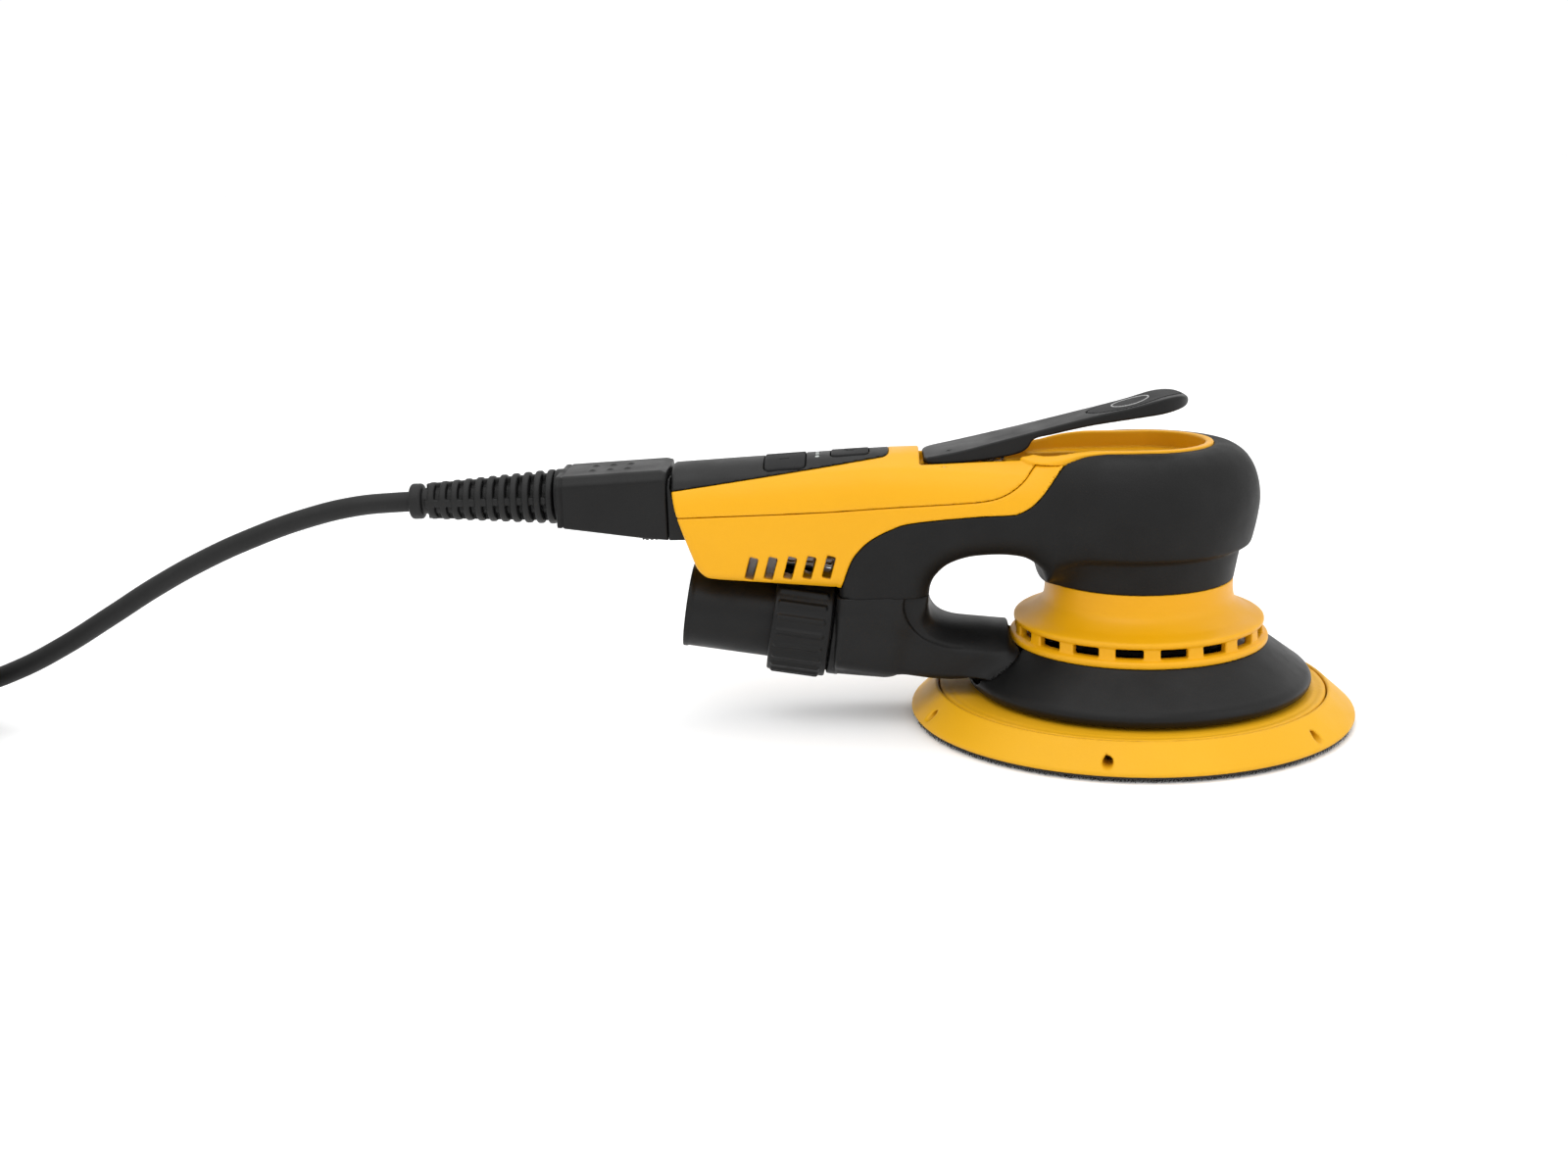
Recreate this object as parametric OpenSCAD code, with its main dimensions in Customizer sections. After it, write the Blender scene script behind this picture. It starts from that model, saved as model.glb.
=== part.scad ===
// Corded random-orbital sander: round pad, palm head, rear handle, dust outlet and mains lead.
// Millimetres. The origin is on the motor axis in the plane of the sanding face.
// +X runs from the handle towards the head, +Z is up.

/* [Pad] */
// Radius of the sanding pad at its lower rim
pad_r = 75; // [70:0.5:76]
// Radius where the pad's sloping side meets its top plate
pad_top_r = 66; // [60:0.5:70]
// Height of the pad's top plate above the sanding face
pad_h = 10.6; // [9:0.1:11]
// Distance from the motor axis to the pad's own axis
orbit_offset = 2.5; // [1.25:0.25:4]
// Radius of each dust hole in the sanding face
dust_hole_r = 2.6; // [2:0.1:4]

/* [Head] */
// Radius of the yellow neck under the palm grip
neck_r = 31.5; // [30:0.5:33]
// Largest radius of the palm grip
head_r = 39.5; // [38:0.5:42]
// Height of the grip's lower edge
neck_top = 48.5; // [46:0.5:50]
// Height of the grip's flat top
top_z = 94; // [92:0.5:96]
// Width of each cooling slot in the vent ring
slot_w = 9; // [6:0.5:10]

/* [Shroud] */
// Outer radius of the dust shroud
shroud_r = 58; // [54:0.5:60]
// Height of the shroud's lower edge
shroud_low = 11.8; // [11.4:0.1:14]

/* [Handle] */
// Half the width of the handle
grip_half = 19; // [17:0.5:21]
// Wall thickness of the shells
wall = 2.4; // [2:0.1:3]

/* [Lever] */
// Radius of the lever's pivot pin
lever_pin_r = 1.5; // [1:0.1:2]

/* [Dust outlet] */
// Outer radius of the dust nozzle
nozzle_r = 14; // [13:0.5:18]
// Inner radius of the dust nozzle
nozzle_bore_r = 12; // [10:0.5:15]
// Downward tilt of the outlet's axis towards the head, in degrees
outlet_tilt = 9.3; // [0:0.1:15]

/* [Lead] */
// Radius of the mains cord
cord_r = 3.5; // [3:0.1:4.5]
// Mean radius of the coil of spare cord
coil_r = 42; // [36:1:60]
// Radius of the bundle of turns
bundle_r = 16.5; // [10:0.5:18]

/* [Hidden] */
outlet_x = -107;
outlet_z = 33;
pivot_x = -66;
pivot_z = 88;
slope_a = 2.9;
belly_a = -5.4;
flare_a = 9;
screw_x = -137;
loop_split = -36;
coil_at = [-452, -47, 16.5];
cord_route = [
    [-240, 0, 79], [-252, 0, 78.8], [-268, 0, 77.6], [-286, 0, 73.6], [-304, 0, 67.6],
    [-321, 0, 60.6], [-340, 0, 51], [-358, 0, 40.4], [-376, 0, 30], [-394, 0, 21.4],
    [-412, 1.4, 15.6], [-432, 4.4, 13.2], [-452, 5.7, 12.9]
];
lead_out = [
    [6.4, 48.7, -4.3], [-8.5, 48.4, -1], [-22.7, 43.6, 2.2], [-34.8, 34.8, 3.7], [-41.7, 24.3, 3.8],
    [-44.1, 12.1, 4.4], [-41.7, -0.1, 6], [-34.7, -10.5, 7.8], [-24.3, -17.5, 9.1], [-12, -20, 9.6], [-2, -20, 9.6]
];
plug_y = -20;
head_out = [
    [0, neck_top], [neck_r, neck_top], [33.4, 57.7], [35.4, 60.4], [37.4, 64.6], [38.9, 69.8], [head_r, 75],
    [39.1, 80.2], [37.6, 85.4], [35, 89.6], [31.4, 92.4], [27, 94], [0, 94]
];
head_in = [
    [0, 48], [28.8, 48], [28.8, 49.4], [30.8, 58.4], [33, 61.8], [34.9, 65.6], [36.3, 70.4],
    [36.9, 75], [36.5, 79.6], [35.2, 84.2], [33, 87.6], [30, 90], [26.4, 91.4], [0, 91.4]
];
grip_side = [
    [-157, 90.2], [-84, 93.9], [-73, 94], [0, 94], [0, 60], [-20, 60], [-30, 53], [-32.5, 51],
    [-34.5, 55.5], [-38.5, 58.6], [-45.8, 59.8], [-54, 59.5], [-60, 58.4], [-65.5, 56], [-69.5, 52.2],
    [-71.5, 46], [-142, 46], [-148.4, 57], [-150.2, 61],
    [-154.8, 74.7], [-156.6, 83.6]
];
black_line = [
    [-100.8, 49.4], [-97.4, 58.4], [-94.2, 62.9], [-90.1, 66.3], [-84, 69.4], [-77.1, 71.6],
    [-57.7, 73.8], [-45, 74.6], [-41.8, 75.3], [-38.4, 77.2], [-35.6, 79.8], [-32.4, 83.8],
    [-29.6, 87.7], [-26, 92]
];
seam_line = [
    [-160, 74.6], [-132, 75.1], [-106, 75.7], [-82.5, 76.9], [-61.8, 78.2], [-52, 79.2],
    [-46, 81.2], [-41, 84.6], [-37, 89], [-34, 92]
];

yellow = [0.98, 0.68, 0.05];
black = [0.09, 0.09, 0.1];
grey = [0.35, 0.36, 0.38];
steel = [0.72, 0.73, 0.75];
copper = [0.72, 0.42, 0.2];
green = [0.08, 0.35, 0.16];

// ---------- helpers ----------

// A side outline in X and Z, given thickness in Y about the middle plane.
module side(pts, w = 120) {
    rotate([90, 0, 0])
        linear_extrude(height = w, center = true)
            polygon(pts);
}

// A disc or cylinder standing between two heights.
module post(r, z0, z1) {
    translate([0, 0, z0])
        cylinder(r = r, h = z1 - z0, $fn = 64);
}

// A ring between two radii and two heights.
module ring(ro, ri, z0, z1) {
    difference() {
        post(ro, z0, z1);
        post(ri, z0 - 1, z1 + 1);
    }
}

// A block from one corner to the opposite one.
module block(a, b) {
    translate(a)
        cube(b - a);
}

// The outlet's own frame: Z runs along the outlet's axis towards the head, X points down.
module at_outlet() {
    translate([outlet_x, 0, outlet_z])
        rotate([0, 90 + outlet_tilt, 0])
            children();
}

// A rounded bar of a YZ outline, running along +X.
module along_x(len) {
    rotate([90, 0, 90])
        linear_extrude(height = len)
            children();
}

// A child on each side of the middle plane.
module pair(x, y) {
    for (s = [-1, 1])
        translate([x, s * y, 0])
            children();
}

// Unit vector, and the frame that carries a tube's ring from one point to the next.
function unit(v) = v / norm(v);
function heading(p, i) = unit(p[min(i + 1, len(p) - 1)] - p[max(i - 1, 0)]);
function side_of(d) = abs(d[1]) > 0.95 ? unit(cross([1, 0, 0], d)) : unit(cross([0, 1, 0], d));
function loop_at(p, i, r, n) =
    let (d = heading(p, i), u = side_of(d), v = cross(d, u))
    [for (k = [0 : n - 1]) p[i] + r * (cos(360 * k / n) * u + sin(360 * k / n) * v)];

// Smooth curve through route points, with m steps to each span.
function knot(p, i) = p[max(0, min(len(p) - 1, i))];
function bend(a, b, c, d, t) =
    0.5 * (2 * b + (c - a) * t + (2 * a - 5 * b + 4 * c - d) * t * t + (3 * b - a - 3 * c + d) * t * t * t);
function smooth(p, m) = concat(
    [for (i = [0 : len(p) - 2], k = [0 : m - 1]) bend(knot(p, i - 1), p[i], p[i + 1], knot(p, i + 2), k / m)],
    [p[len(p) - 1]]);

// A tube of radius r swept through the points p, with n sides.
module tube(p, r, n) {
    rings = len(p);
    pts = [for (i = [0 : rings - 1]) each loop_at(p, i, r, n)];
    skin = [
        for (i = [0 : rings - 2], k = [0 : n - 1])
            [i * n + k, (i + 1) * n + k, (i + 1) * n + (k + 1) % n, i * n + (k + 1) % n]
    ];
    first = [for (k = [0 : n - 1]) k];
    last = [for (k = [0 : n - 1]) (rings - 1) * n + n - 1 - k];
    polyhedron(points = pts, faces = concat(skin, [first], [last]));
}

// ---------- body envelopes ----------

// Rounded roof and straight flank of the handle, inset by t, as a YZ outline under height h.
module roof_half(t, h) {
    intersection() {
        union() {
            translate([0, h - 25])
                circle(r = 25 - t, $fn = 96);
            translate([-2 * grip_half, h - 120])
                square([2 * grip_half + 60, 95]);
            translate([0, h - 60])
                square([60, 60 - t]);
        }
        translate([-grip_half + t, h - 120])
            square([100, 130]);
    }
}

// Straight part of the handle, narrow end to wide end.
module handle_bar(t) {
    intersection() {
        translate([-160, 0, 90.05])
            rotate([0, -slope_a, 0])
                along_x(77)
                    intersection() {
                        roof_half(t, 0);
                        mirror([1, 0])
                            roof_half(t, 0);
                    }
        translate([-160, 0, 55])
            rotate([0, -belly_a, 0])
                along_x(84)
                    union() {
                        translate([-grip_half + t, 9])
                            square([2 * (grip_half - t), 60]);
                        translate([-grip_half + 9, t])
                            square([2 * (grip_half - 9), 20]);
                        for (s = [-1, 1])
                            translate([s * (grip_half - 9), 9])
                                circle(r = 9 - t, $fn = 48);
                    }
    }
}

// Flared part of the handle that runs into the head.
module shoulder(t) {
    intersection() {
        translate([-84, 0, top_z])
            rotate([0, 0, -flare_a])
                translate([-20, 0, 0])
                    along_x(110)
                        roof_half(t, 0);
        translate([-84, 0, top_z])
            rotate([0, 0, flare_a])
                translate([-20, 0, 0])
                    along_x(110)
                        mirror([1, 0])
                            roof_half(t, 0);
        block([-84, -60, 40], [0, 60, 100]);
    }
}

// Column between the arm and the dust duct, inset by t.
module column(t) {
    translate([0, 0, 40])
        linear_extrude(height = 30) {
            translate([-95.5, -18.5 + t])
                square([35.5, 37 - 2 * t]);
            translate([-101.5 + t, -12.5])
                square([20, 25]);
            for (s = [-1, 1])
                translate([-95.5, s * 12.5])
                    circle(r = 6 - t, $fn = 48);
        }
}

// Whole upper body as one solid, inset by t all over.
module grip_solid(t) {
    intersection() {
        union() {
            handle_bar(t);
            shoulder(t);
            column(t);
        }
        rotate([90, 0, 0])
            linear_extrude(height = 120, center = true)
                offset(delta = -t)
                    polygon(grip_side);
    }
}

module head_solid() {
    rotate_extrude($fn = 96)
        polygon(head_out);
}

module head_hollow() {
    rotate_extrude($fn = 96)
        polygon(head_in);
}

// Hollow shell of the upper body.
module body_shell() {
    difference() {
        union() {
            grip_solid(0);
            head_solid();
        }
        grip_solid(wall);
        head_hollow();
    }
}

// Everything above the seam between the two yellow shells.
module above_seam() {
    side(concat(seam_line, [[-34, 110], [-160, 110]]));
}

// The yellow lower shell's share: between the seam and the black line.
module low_zone() {
    side(concat(
        seam_line, [[-34, 110], [-24, 110], [-24, 94]],
        [for (i = [len(black_line) - 1 : -1 : 0]) black_line[i]],
        [[-104, 49.4], [-104, 40], [-160, 40]]
    ));
}

// Everything that is black: the head and the arm under the yellow line.
module black_zone() {
    side(concat(black_line, [[-24, 94], [-24, 110], [60, 110], [60, 30], [-104, 30], [-104, 49.4]]));
}

// The control panel's patch on top of the handle, with a rounded front end.
module panel_zone(gap = 0) {
    intersection() {
        side([[-170, 81.6 - gap], [-84 + gap, 92.3 - gap], [-70, 94], [-70, 110], [-170, 110]]);
        union() {
            block([-170, -40, 70], [-94, 40, 110]);
            translate([-94, 0, 0])
                post(10 + gap, 70, 110);
            block([-95, -10 - gap, 70], [-84 + gap - 9, 10 + gap, 110]);
        }
    }
}

// Rounded bar shape in plan, from x0 to x1, with half-width w.
module bar_plan(x0, x1, w, z0, z1) {
    translate([x0 + w, 0, 0])
        post(w, z0, z1);
    translate([x1 - w, 0, 0])
        post(w, z0, z1);
    block([x0 + w, -w, z0], [x1 - w, w, z1]);
}

// ---------- pad ----------

module at_pad() {
    translate([-orbit_offset, 0, 0])
        children();
}

module dust_holes(z0, z1) {
    for (k = [0 : 7])
        rotate([0, 0, 45 * k])
            translate([30, 0, 0])
                post(dust_hole_r, z0, z1);
    for (k = [0 : 15])
        rotate([0, 0, 22.5 * k + 11])
            translate([46, 0, 0])
                post(dust_hole_r, z0, z1);
    for (k = [0 : 23])
        rotate([0, 0, 15 * k])
            translate([62, 0, 0])
                post(dust_hole_r, z0, z1);
}

module hook_face() {
    color(black)
        at_pad()
            difference() {
                post(pad_r - 0.6, 0, 1.8);
                dust_holes(-1, 3);
            }
}

module pad_foam() {
    color(yellow)
        at_pad()
            difference() {
                rotate_extrude($fn = 128)
                    polygon([
                        [0, 1.8], [pad_r - 0.4, 1.8], [pad_r, 2.4], [pad_r - 0.3, 3.2],
                        [pad_top_r + 0.6, pad_h], [pad_top_r, pad_h + 0.3], [pad_top_r - 0.4, pad_h],
                        [pad_top_r - 0.4, 7], [66, 7], [66, 5], [22, 5], [22, 7], [0, 7]
                    ]);
                dust_holes(1, 6);
                for (k = [0 : 5])
                    rotate([0, 0, 17 + 60 * k])
                        translate([60, 0, 5.4])
                            rotate([0, 90, 0])
                                cylinder(r = 1.7, h = 20, $fn = 24);
            }
}

module pad_plate() {
    color(yellow)
        at_pad()
            difference() {
                union() {
                    post(pad_top_r - 0.8, 7, pad_h);
                    post(13, 7, pad_h + 1.2);
                }
                post(5.5, 6, 20);
                for (k = [0 : 7])
                    rotate([0, 0, 45 * k + 22.5])
                        translate([32, 0, 0])
                            post(6, 6, 13);
            }
}

module pad_spindle() {
    color(steel)
        at_pad()
            difference() {
                union() {
                    post(5.5, 7, 13);
                    post(3.96, 13, 23);
                }
                post(2.6, 6, 10);
            }
}

// ---------- rotor ----------

module rotor_shaft() {
    color(steel)
        difference() {
            union() {
                post(3.96, 24.4, 84.6);
                post(11, 14, 24.4);
            }
            translate([-orbit_offset, 0, 0])
                post(8, 12, 23.4);
        }
}

module rotor_core() {
    color(grey)
        ring(12, 3.96, 51, 77);
}

module rotor_magnets() {
    color([0.5, 0.5, 0.54])
        difference() {
            ring(14, 12, 52, 76);
            for (k = [0 : 7])
                rotate([0, 0, 45 * k])
                    block([10, -0.5, 50], [16, 0.5, 78]);
        }
}

module cooling_fan() {
    color(grey) {
        ring(33, 3.96, 28.6, 30);
        ring(7, 3.96, 30, 38);
        for (k = [0 : 11])
            rotate([0, 0, 30 * k])
                translate([15, 0, 30])
                    rotate([0, 0, 24])
                        block([0, -0.6, 0], [16, 0.6, 4.4]);
    }
}

module counterweight() {
    color(steel)
        difference() {
            intersection() {
                ring(28, 11, 15, 22.6);
                block([0, -40, 10], [40, 40, 30]);
            }
            for (y = [-18, 18])
                translate([14, y, 0])
                    post(2, 10, 30);
        }
}

module pad_bearing() {
    color(steel)
        translate([-orbit_offset, 0, 0]) {
            ring(8, 6.4, 14.4, 22.4);
            ring(5.4, 4, 14.4, 22.4);
            ring(6.4, 5.4, 16, 21);
        }
}

// ---------- motor in the head ----------

module stator_core() {
    color(grey)
        difference() {
            ring(28.4, 14.5, 54, 75);
            for (k = [0 : 8])
                rotate([0, 0, 40 * k])
                    translate([20.5, 0, 0])
                        post(3.6, 53, 76);
        }
}

module stator_windings() {
    color(copper)
        for (k = [0 : 8])
            rotate([0, 0, 40 * k])
                translate([20.5, 0, 0])
                    post(3.4, 51, 77.6);
}

module motor_flange() {
    color(steel)
        difference() {
            union() {
                post(28.8, 45, 48);
                post(14, 40.6, 50.4);
                ring(28.4, 25.6, 48, 54);
            }
            post(11, 42, 52);
            post(5, 39, 50);
            for (k = [0 : 5])
                rotate([0, 0, 60 * k])
                    translate([20, 0, 0])
                        post(4, 40, 49);
        }
}

module bearing(r, z0, z1) {
    ring(r, r - 1.8, z0, z1);
    ring(5.8, 4, z0, z1);
    ring(r - 1.8, 5.8, z0 + 1, z1 - 1);
}

module lower_bearing() {
    color(steel)
        bearing(11, 42, 49);
}

module upper_bearing() {
    color(steel)
        bearing(9, 79, 84);
}

module upper_bearing_seat() {
    color(grey)
        difference() {
            union() {
                ring(12, 9, 79, 84);
                for (k = [0 : 2])
                    rotate([0, 0, 120 * k])
                        block([11.8, -3, 79], [35.6, 3, 82]);
                ring(28.4, 25.6, 75, 82);
            }
            post(9, 70, 89);
        }
}

// ---------- lower body ----------

module vent_ring() {
    color(yellow)
        difference() {
            rotate_extrude($fn = 128)
                polygon([
                    [39, 27], [43.2, 27], [43.6, 27.6], [43.2, 29], [41.6, 29.6], [41.5, 33.1], [42, 33.5],
                    [41.8, 34.8], [40.8, 35.5], [37.2, 36.8], [34.4, 38.6], [32.6, 40.4], [31.7, 42.4],
                    [neck_r, neck_top], [29, neck_top], [29, 41.4], [30.4, 39], [32.8, 37], [36, 35], [39, 33.8]
                ]);
            for (k = [0 : 17])
                rotate([0, 0, 20 * k + 18.5])
                    block([37, -slot_w / 2, 29.7], [46, slot_w / 2, 33]);
        }
}

module fan_plate() {
    color(steel)
        difference() {
            post(38.8, 25.2, 27.4);
            post(6, 20, 30);
            for (k = [0 : 3])
                rotate([0, 0, 45 + 90 * k])
                    translate([35.5, 0, 0])
                        post(1.6, 20, 30);
        }
}

module dust_shroud() {
    color(black)
        difference() {
            rotate_extrude($fn = 128)
                polygon([
                    [33, 23], [41, 23], [41.4, 24.2], [52.6, 17.4], [55, 15], [55.2, shroud_low],
                    [56.8, shroud_low], [57.8, 12.8], [shroud_r, 14.6], [57, 16.6], [54.8, 18.2],
                    [44.2, 26], [43.2, 27], [38.8, 27], [38.8, 25.2], [33, 25.2]
                ]);
            at_outlet()
                duct_bar(0, 40, 70);
            for (k = [0 : 3])
                rotate([0, 0, 45 + 90 * k])
                    translate([35.5, 0, 0])
                        post(1.6, 20, 30);
        }
}

module brake_seal() {
    color([0.13, 0.13, 0.14])
        rotate_extrude($fn = 96)
            polygon([[49.6, 16.2], [52.4, 14.4], [52.4, 11.6], [50.4, 11.2], [50.4, 13.6], [48.6, 15], [48.6, 16.2]]);
    color([0.13, 0.13, 0.14])
        ring(55, 52.4, 12.2, 14.4);
}

module shroud_screws() {
    color(steel)
        for (k = [0 : 3])
            rotate([0, 0, 45 + 90 * k])
                translate([35.5, 0, 0]) {
                    post(1.55, 23, 28.2);
                    post(2.8, 21.2, 23);
                }
}

// ---------- shells ----------

// The oval plate on top of the head, grown by g.
module oval(g, z0, z1) {
    bar_plan(-46 - g, 24 + g, 22.5 + g, z0, z1);
}

// Pocket in which the lever lies when pressed.
module lever_pocket() {
    bar_plan(-42, 21.4, 19.6, 88.6, 100);
    block([-74, -13.6, 86.4], [-20, 13.6, 100]);
    block([-72, -13.6, 83], [-44, 13.6, 100]);
}

// Tray that closes the pocket from below, as a solid.
module pocket_tray() {
    bar_plan(-44, 23.6, 21.8, 86.2, 92);
    block([-76, -15.8, 84], [-22, 15.8, 92]);
    block([-74.2, -15.8, 80.8], [-42, 15.8, 92]);
}

// Black cap round the motor, in front of the finger loop.
module palm_grip() {
    color(black)
        difference() {
            intersection() {
                body_shell();
                black_zone();
                block([loop_split, -60, 30], [60, 60, 110]);
            }
            oval(0, 80, 110);
            pocket_tray();
        }
}

// Black arm over the finger loop and the column behind it.
module grip_arm() {
    color(black)
        difference() {
            intersection() {
                body_shell();
                black_zone();
                block([-120, -60, 30], [loop_split, 60, 110]);
            }
            pocket_tray();
            pair(-92, 10)
                post(1.6, 40, 60);
            at_outlet()
                translate([0, 0, -19])
                    cylinder(r = 17.7, h = 26, $fn = 96);
        }
}

module main_housing() {
    color(yellow)
        difference() {
            union() {
                difference() {
                    intersection() {
                        body_shell();
                        low_zone();
                    }
                    oval(0, 80, 110);
                    pocket_tray();
                }
                pair(screw_x, 10)
                    post(3.4, 53, 74);
                intersection() {
                    at_outlet()
                        translate([0, 0, -21.6])
                            cylinder(r = 22.4, h = 24, $fn = 96);
                    handle_bar(1);
                    low_zone();
                }
            }
            panel_zone();
            inlet_body();
            for (k = [0 : 4])
                translate([-130.6 + 6.45 * k, 0, 56.8])
                    rotate([0, 16, 0])
                        block([-1.5, -30, -4.2], [1.5, 30, 4.2]);
            at_outlet() {
                translate([0, 0, -19.2])
                    cylinder(r = 20.2, h = 30, $fn = 96);
                translate([0, 0, -23])
                    cylinder(r = 15, h = 20, $fn = 96);
            }
            pair(screw_x, 10) {
                post(1.6, 40, 76);
                post(3, 40, 56.8);
            }
        }
}

module top_cover() {
    color(yellow)
        difference() {
            union() {
                difference() {
                    intersection() {
                        body_shell();
                        above_seam();
                    }
                    black_zone();
                }
                intersection() {
                    oval(0, 90, top_z + 0.6);
                    union() {
                        grip_solid(0);
                        translate([0, 0, 0.6])
                            head_solid();
                    }
                }
                intersection() {
                    pocket_tray();
                    union() {
                        grip_solid(0.2);
                        head_solid();
                    }
                }
                pair(screw_x, 10)
                    post(3.4, 74, 86);
            }
            lever_pocket();
            panel_zone();
            inlet_body();
            lever_pin_hole(lever_pin_r);
            key_holes();
            pair(screw_x, 10)
                post(1.4, 70, 83.4);
        }
}

module lever_pin_hole(r) {
    translate([pivot_x, 0, pivot_z])
        rotate([90, 0, 0])
            cylinder(r = r, h = 31, center = true, $fn = 32);
}

module control_panel() {
    color(black)
        difference() {
            intersection() {
                body_shell();
                panel_zone();
            }
            inlet_body();
            key_holes();
        }
}

// Holes for the keys and the lights.
module key_holes() {
    key_plan(-125.6, -112, -11.6, 11.6, 0.25, 80, 110);
    key_plan(-103.4, -90.8, -6, 6, 0.25, 80, 110);
    led_row(0.75, 80, 110);
}

// Rounded rectangle in plan, grown by g.
module key_plan(x0, x1, y0, y1, g, z0, z1) {
    block([x0 - g, y0 + 2 - g, z0], [x1 + g, y1 - 2 + g, z1]);
    block([x0 + 2 - g, y0 - g, z0], [x1 - 2 + g, y1 + g, z1]);
    for (x = [x0 + 2 - g, x1 - 2 + g], y = [y0 + 2 - g, y1 - 2 + g])
        translate([x, y, 0])
            post(2, z0, z1);
}

module led_row(r, z0, z1) {
    for (k = [-2 : 2])
        translate([-108, 2.8 * k + 0.9, 0])
            post(r, z0, z1);
}

module cover_screws() {
    color(steel)
        pair(screw_x, 10) {
            post(1.4, 56.8, 83);
            post(2.8, 54.8, 56.8);
        }
}

module duct_screws() {
    color(steel)
        pair(-92, 10) {
            post(1.4, 39, 48.4);
            post(2.8, 48.4, 50.2);
        }
}

// ---------- lever ----------

lever_side = [
    [-72.7, 91.2], [-71.2, 90], [-60.5, 90.4], [-50.8, 91.2], [-42, 92.6], [-38.4, 94.4], [-36, 97.6],
    [-17, 101.2], [2, 104.2], [10.4, 105.6], [14.6, 106.4], [15.6, 107.6], [14.4, 109.2],
    [10.6, 110.4], [5, 109.6], [-4.7, 106.8], [-19.5, 103.6], [-39.3, 99], [-59.3, 94.6], [-71, 92.3]
];

module lever_plan() {
    linear_extrude(height = 60) {
        translate([3.6, 0])
            circle(r = 12, $fn = 64);
        polygon([[-72.7, -9], [-70, -12], [-60, -12.6], [-44, -11.2], [-20, -9.8], [-4, -11.4],
                 [3.6, -12], [3.6, 12], [-4, 11.4], [-20, 9.8], [-44, 11.2], [-60, 12.6], [-70, 12], [-72.7, 9]]);
    }
}

module lever() {
    color(black)
        difference() {
            union() {
                intersection() {
                    side(lever_side);
                    translate([0, 0, 70])
                        lever_plan();
                }
                translate([pivot_x, 0, pivot_z])
                    rotate([90, 0, 0])
                        cylinder(r = 3.4, h = 22, center = true, $fn = 48);
            }
            lever_pin_hole(lever_pin_r + 0.06);
            intersection() {
                block([-59, -9, 80], [-39, 9, 100]);
                side([[-59, 80], [-39, 80], [-39, 96], [-59, 91.6]]);
            }
            translate([3.4, 0, 0])
                insert_plan(0, 100, 116);
            translate([-30, 0, 0])
                post(2, 90, 100.6);
        }
}

module insert_plan(g, z0, z1) {
    translate([-1.5, 0, 0])
        bar_plan(-15 - g, 12 + g, 7 + g, z0, z1);
}

module lever_insert() {
    color([0.06, 0.06, 0.07])
        intersection() {
            side([
                [-20, 102.2], [-4.7, 105.2], [5, 107.8], [16, 109], [16, 112], [10.6, 110.9],
                [5, 110.1], [-4.7, 107.3], [-20, 103.9]
            ]);
            translate([3.4, 0, 0])
                insert_plan(-0.02, 100, 116);
        }
}

module lever_magnet() {
    color(steel)
        translate([-30, 0, 0])
            post(1.96, 98.4, 100.5);
}

module lever_pin() {
    color(steel)
        lever_pin_hole(lever_pin_r);
}

module lever_spring() {
    color(steel)
        tube([
            for (k = [0 : 48])
                [-49 + 3.4 * cos(45 * k), 3.4 * sin(45 * k), 83.7 + k * 8.3 / 48]
        ], 0.45, 6);
}

// ---------- controls ----------

// The panel's own top surface, dropped by d.
module panel_skin(d, h) {
    difference() {
        translate([0, 0, -d])
            handle_bar(0);
        translate([0, 0, -d - h])
            handle_bar(0);
    }
}

module power_button() {
    color([0.14, 0.14, 0.15])
        union() {
            intersection() {
                panel_skin(-0.3, 3.6);
                key_plan(-103.4, -90.8, -6, 6, 0, 80, 110);
            }
            translate([-97, 0, 0])
                post(2, 85.6, 91);
        }
}

module speed_down_button() {
    color([0.14, 0.14, 0.15])
        speed_half(-1);
}

module speed_up_button() {
    color([0.14, 0.14, 0.15])
        speed_half(1);
}

module speed_half(s) {
    difference() {
        intersection() {
            panel_skin(-0.3, 3.6);
            key_plan(-125.6, -112, -11.6, 11.6, 0, 76, 110);
        }
        block([-130, min(0, -s * 20) - 0.15, 70], [-110, max(0, -s * 20) + 0.15, 110]);
    }
    translate([-119, s * 5, 0])
        post(2, 84.6, 89);
}

module status_leds() {
    color([0.6, 0.75, 0.5])
        intersection() {
            handle_bar(0);
            led_row(0.7, 84, 110);
        }
}

module switch_board() {
    color(green)
        difference() {
            block([-132, -13, 82.2], [-86, 13, 83.8]);
            pair(screw_x, 10)
                post(3.6, 70, 90);
        }
}

module controller_board() {
    color(green)
        difference() {
            block([-141, -14, 66.4], [-80, 14, 68]);
            pair(screw_x, 10)
                post(3.6, 60, 90);
        }
}

module capacitors() {
    color([0.16, 0.2, 0.34])
        for (x = [-97, -86])
            translate([x, -6, 0])
                post(4.6, 68, 80);
}

module heat_sink() {
    color(steel) {
        block([-106, 2, 68], [-84, 12, 70]);
        for (k = [0 : 4])
            block([-106 + 5 * k, 2, 70], [-104.4 + 5 * k, 12, 77]);
    }
}

module lever_sensor() {
    color(green)
        block([-37, -5, 79.6], [-29.5, 5, 81.4]);
    color(black)
        block([-34, -2, 81.4], [-30, 2, 83.8]);
}

// ---------- mains inlet ----------

module inlet_body() {
    intersection() {
        block([-158, -15.5, 65], [-142, 15.5, 85]);
        side([[-158, 66.6], [-151, 66.6], [-142, 68], [-142, 84], [-158, 86]]);
    }
}

module inlet_socket() {
    color(black)
        difference() {
            inlet_body();
            translate([-159, 0, 77])
                along_x(12)
                    square([20, 10], center = true);
        }
}

module inlet_pins() {
    color(steel)
        for (y = [-5, 5])
            translate([-147.2, y, 77])
                rotate([0, -90, 0])
                    cylinder(r = 1.6, h = 9, $fn = 24);
}

// ---------- dust path ----------

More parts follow.
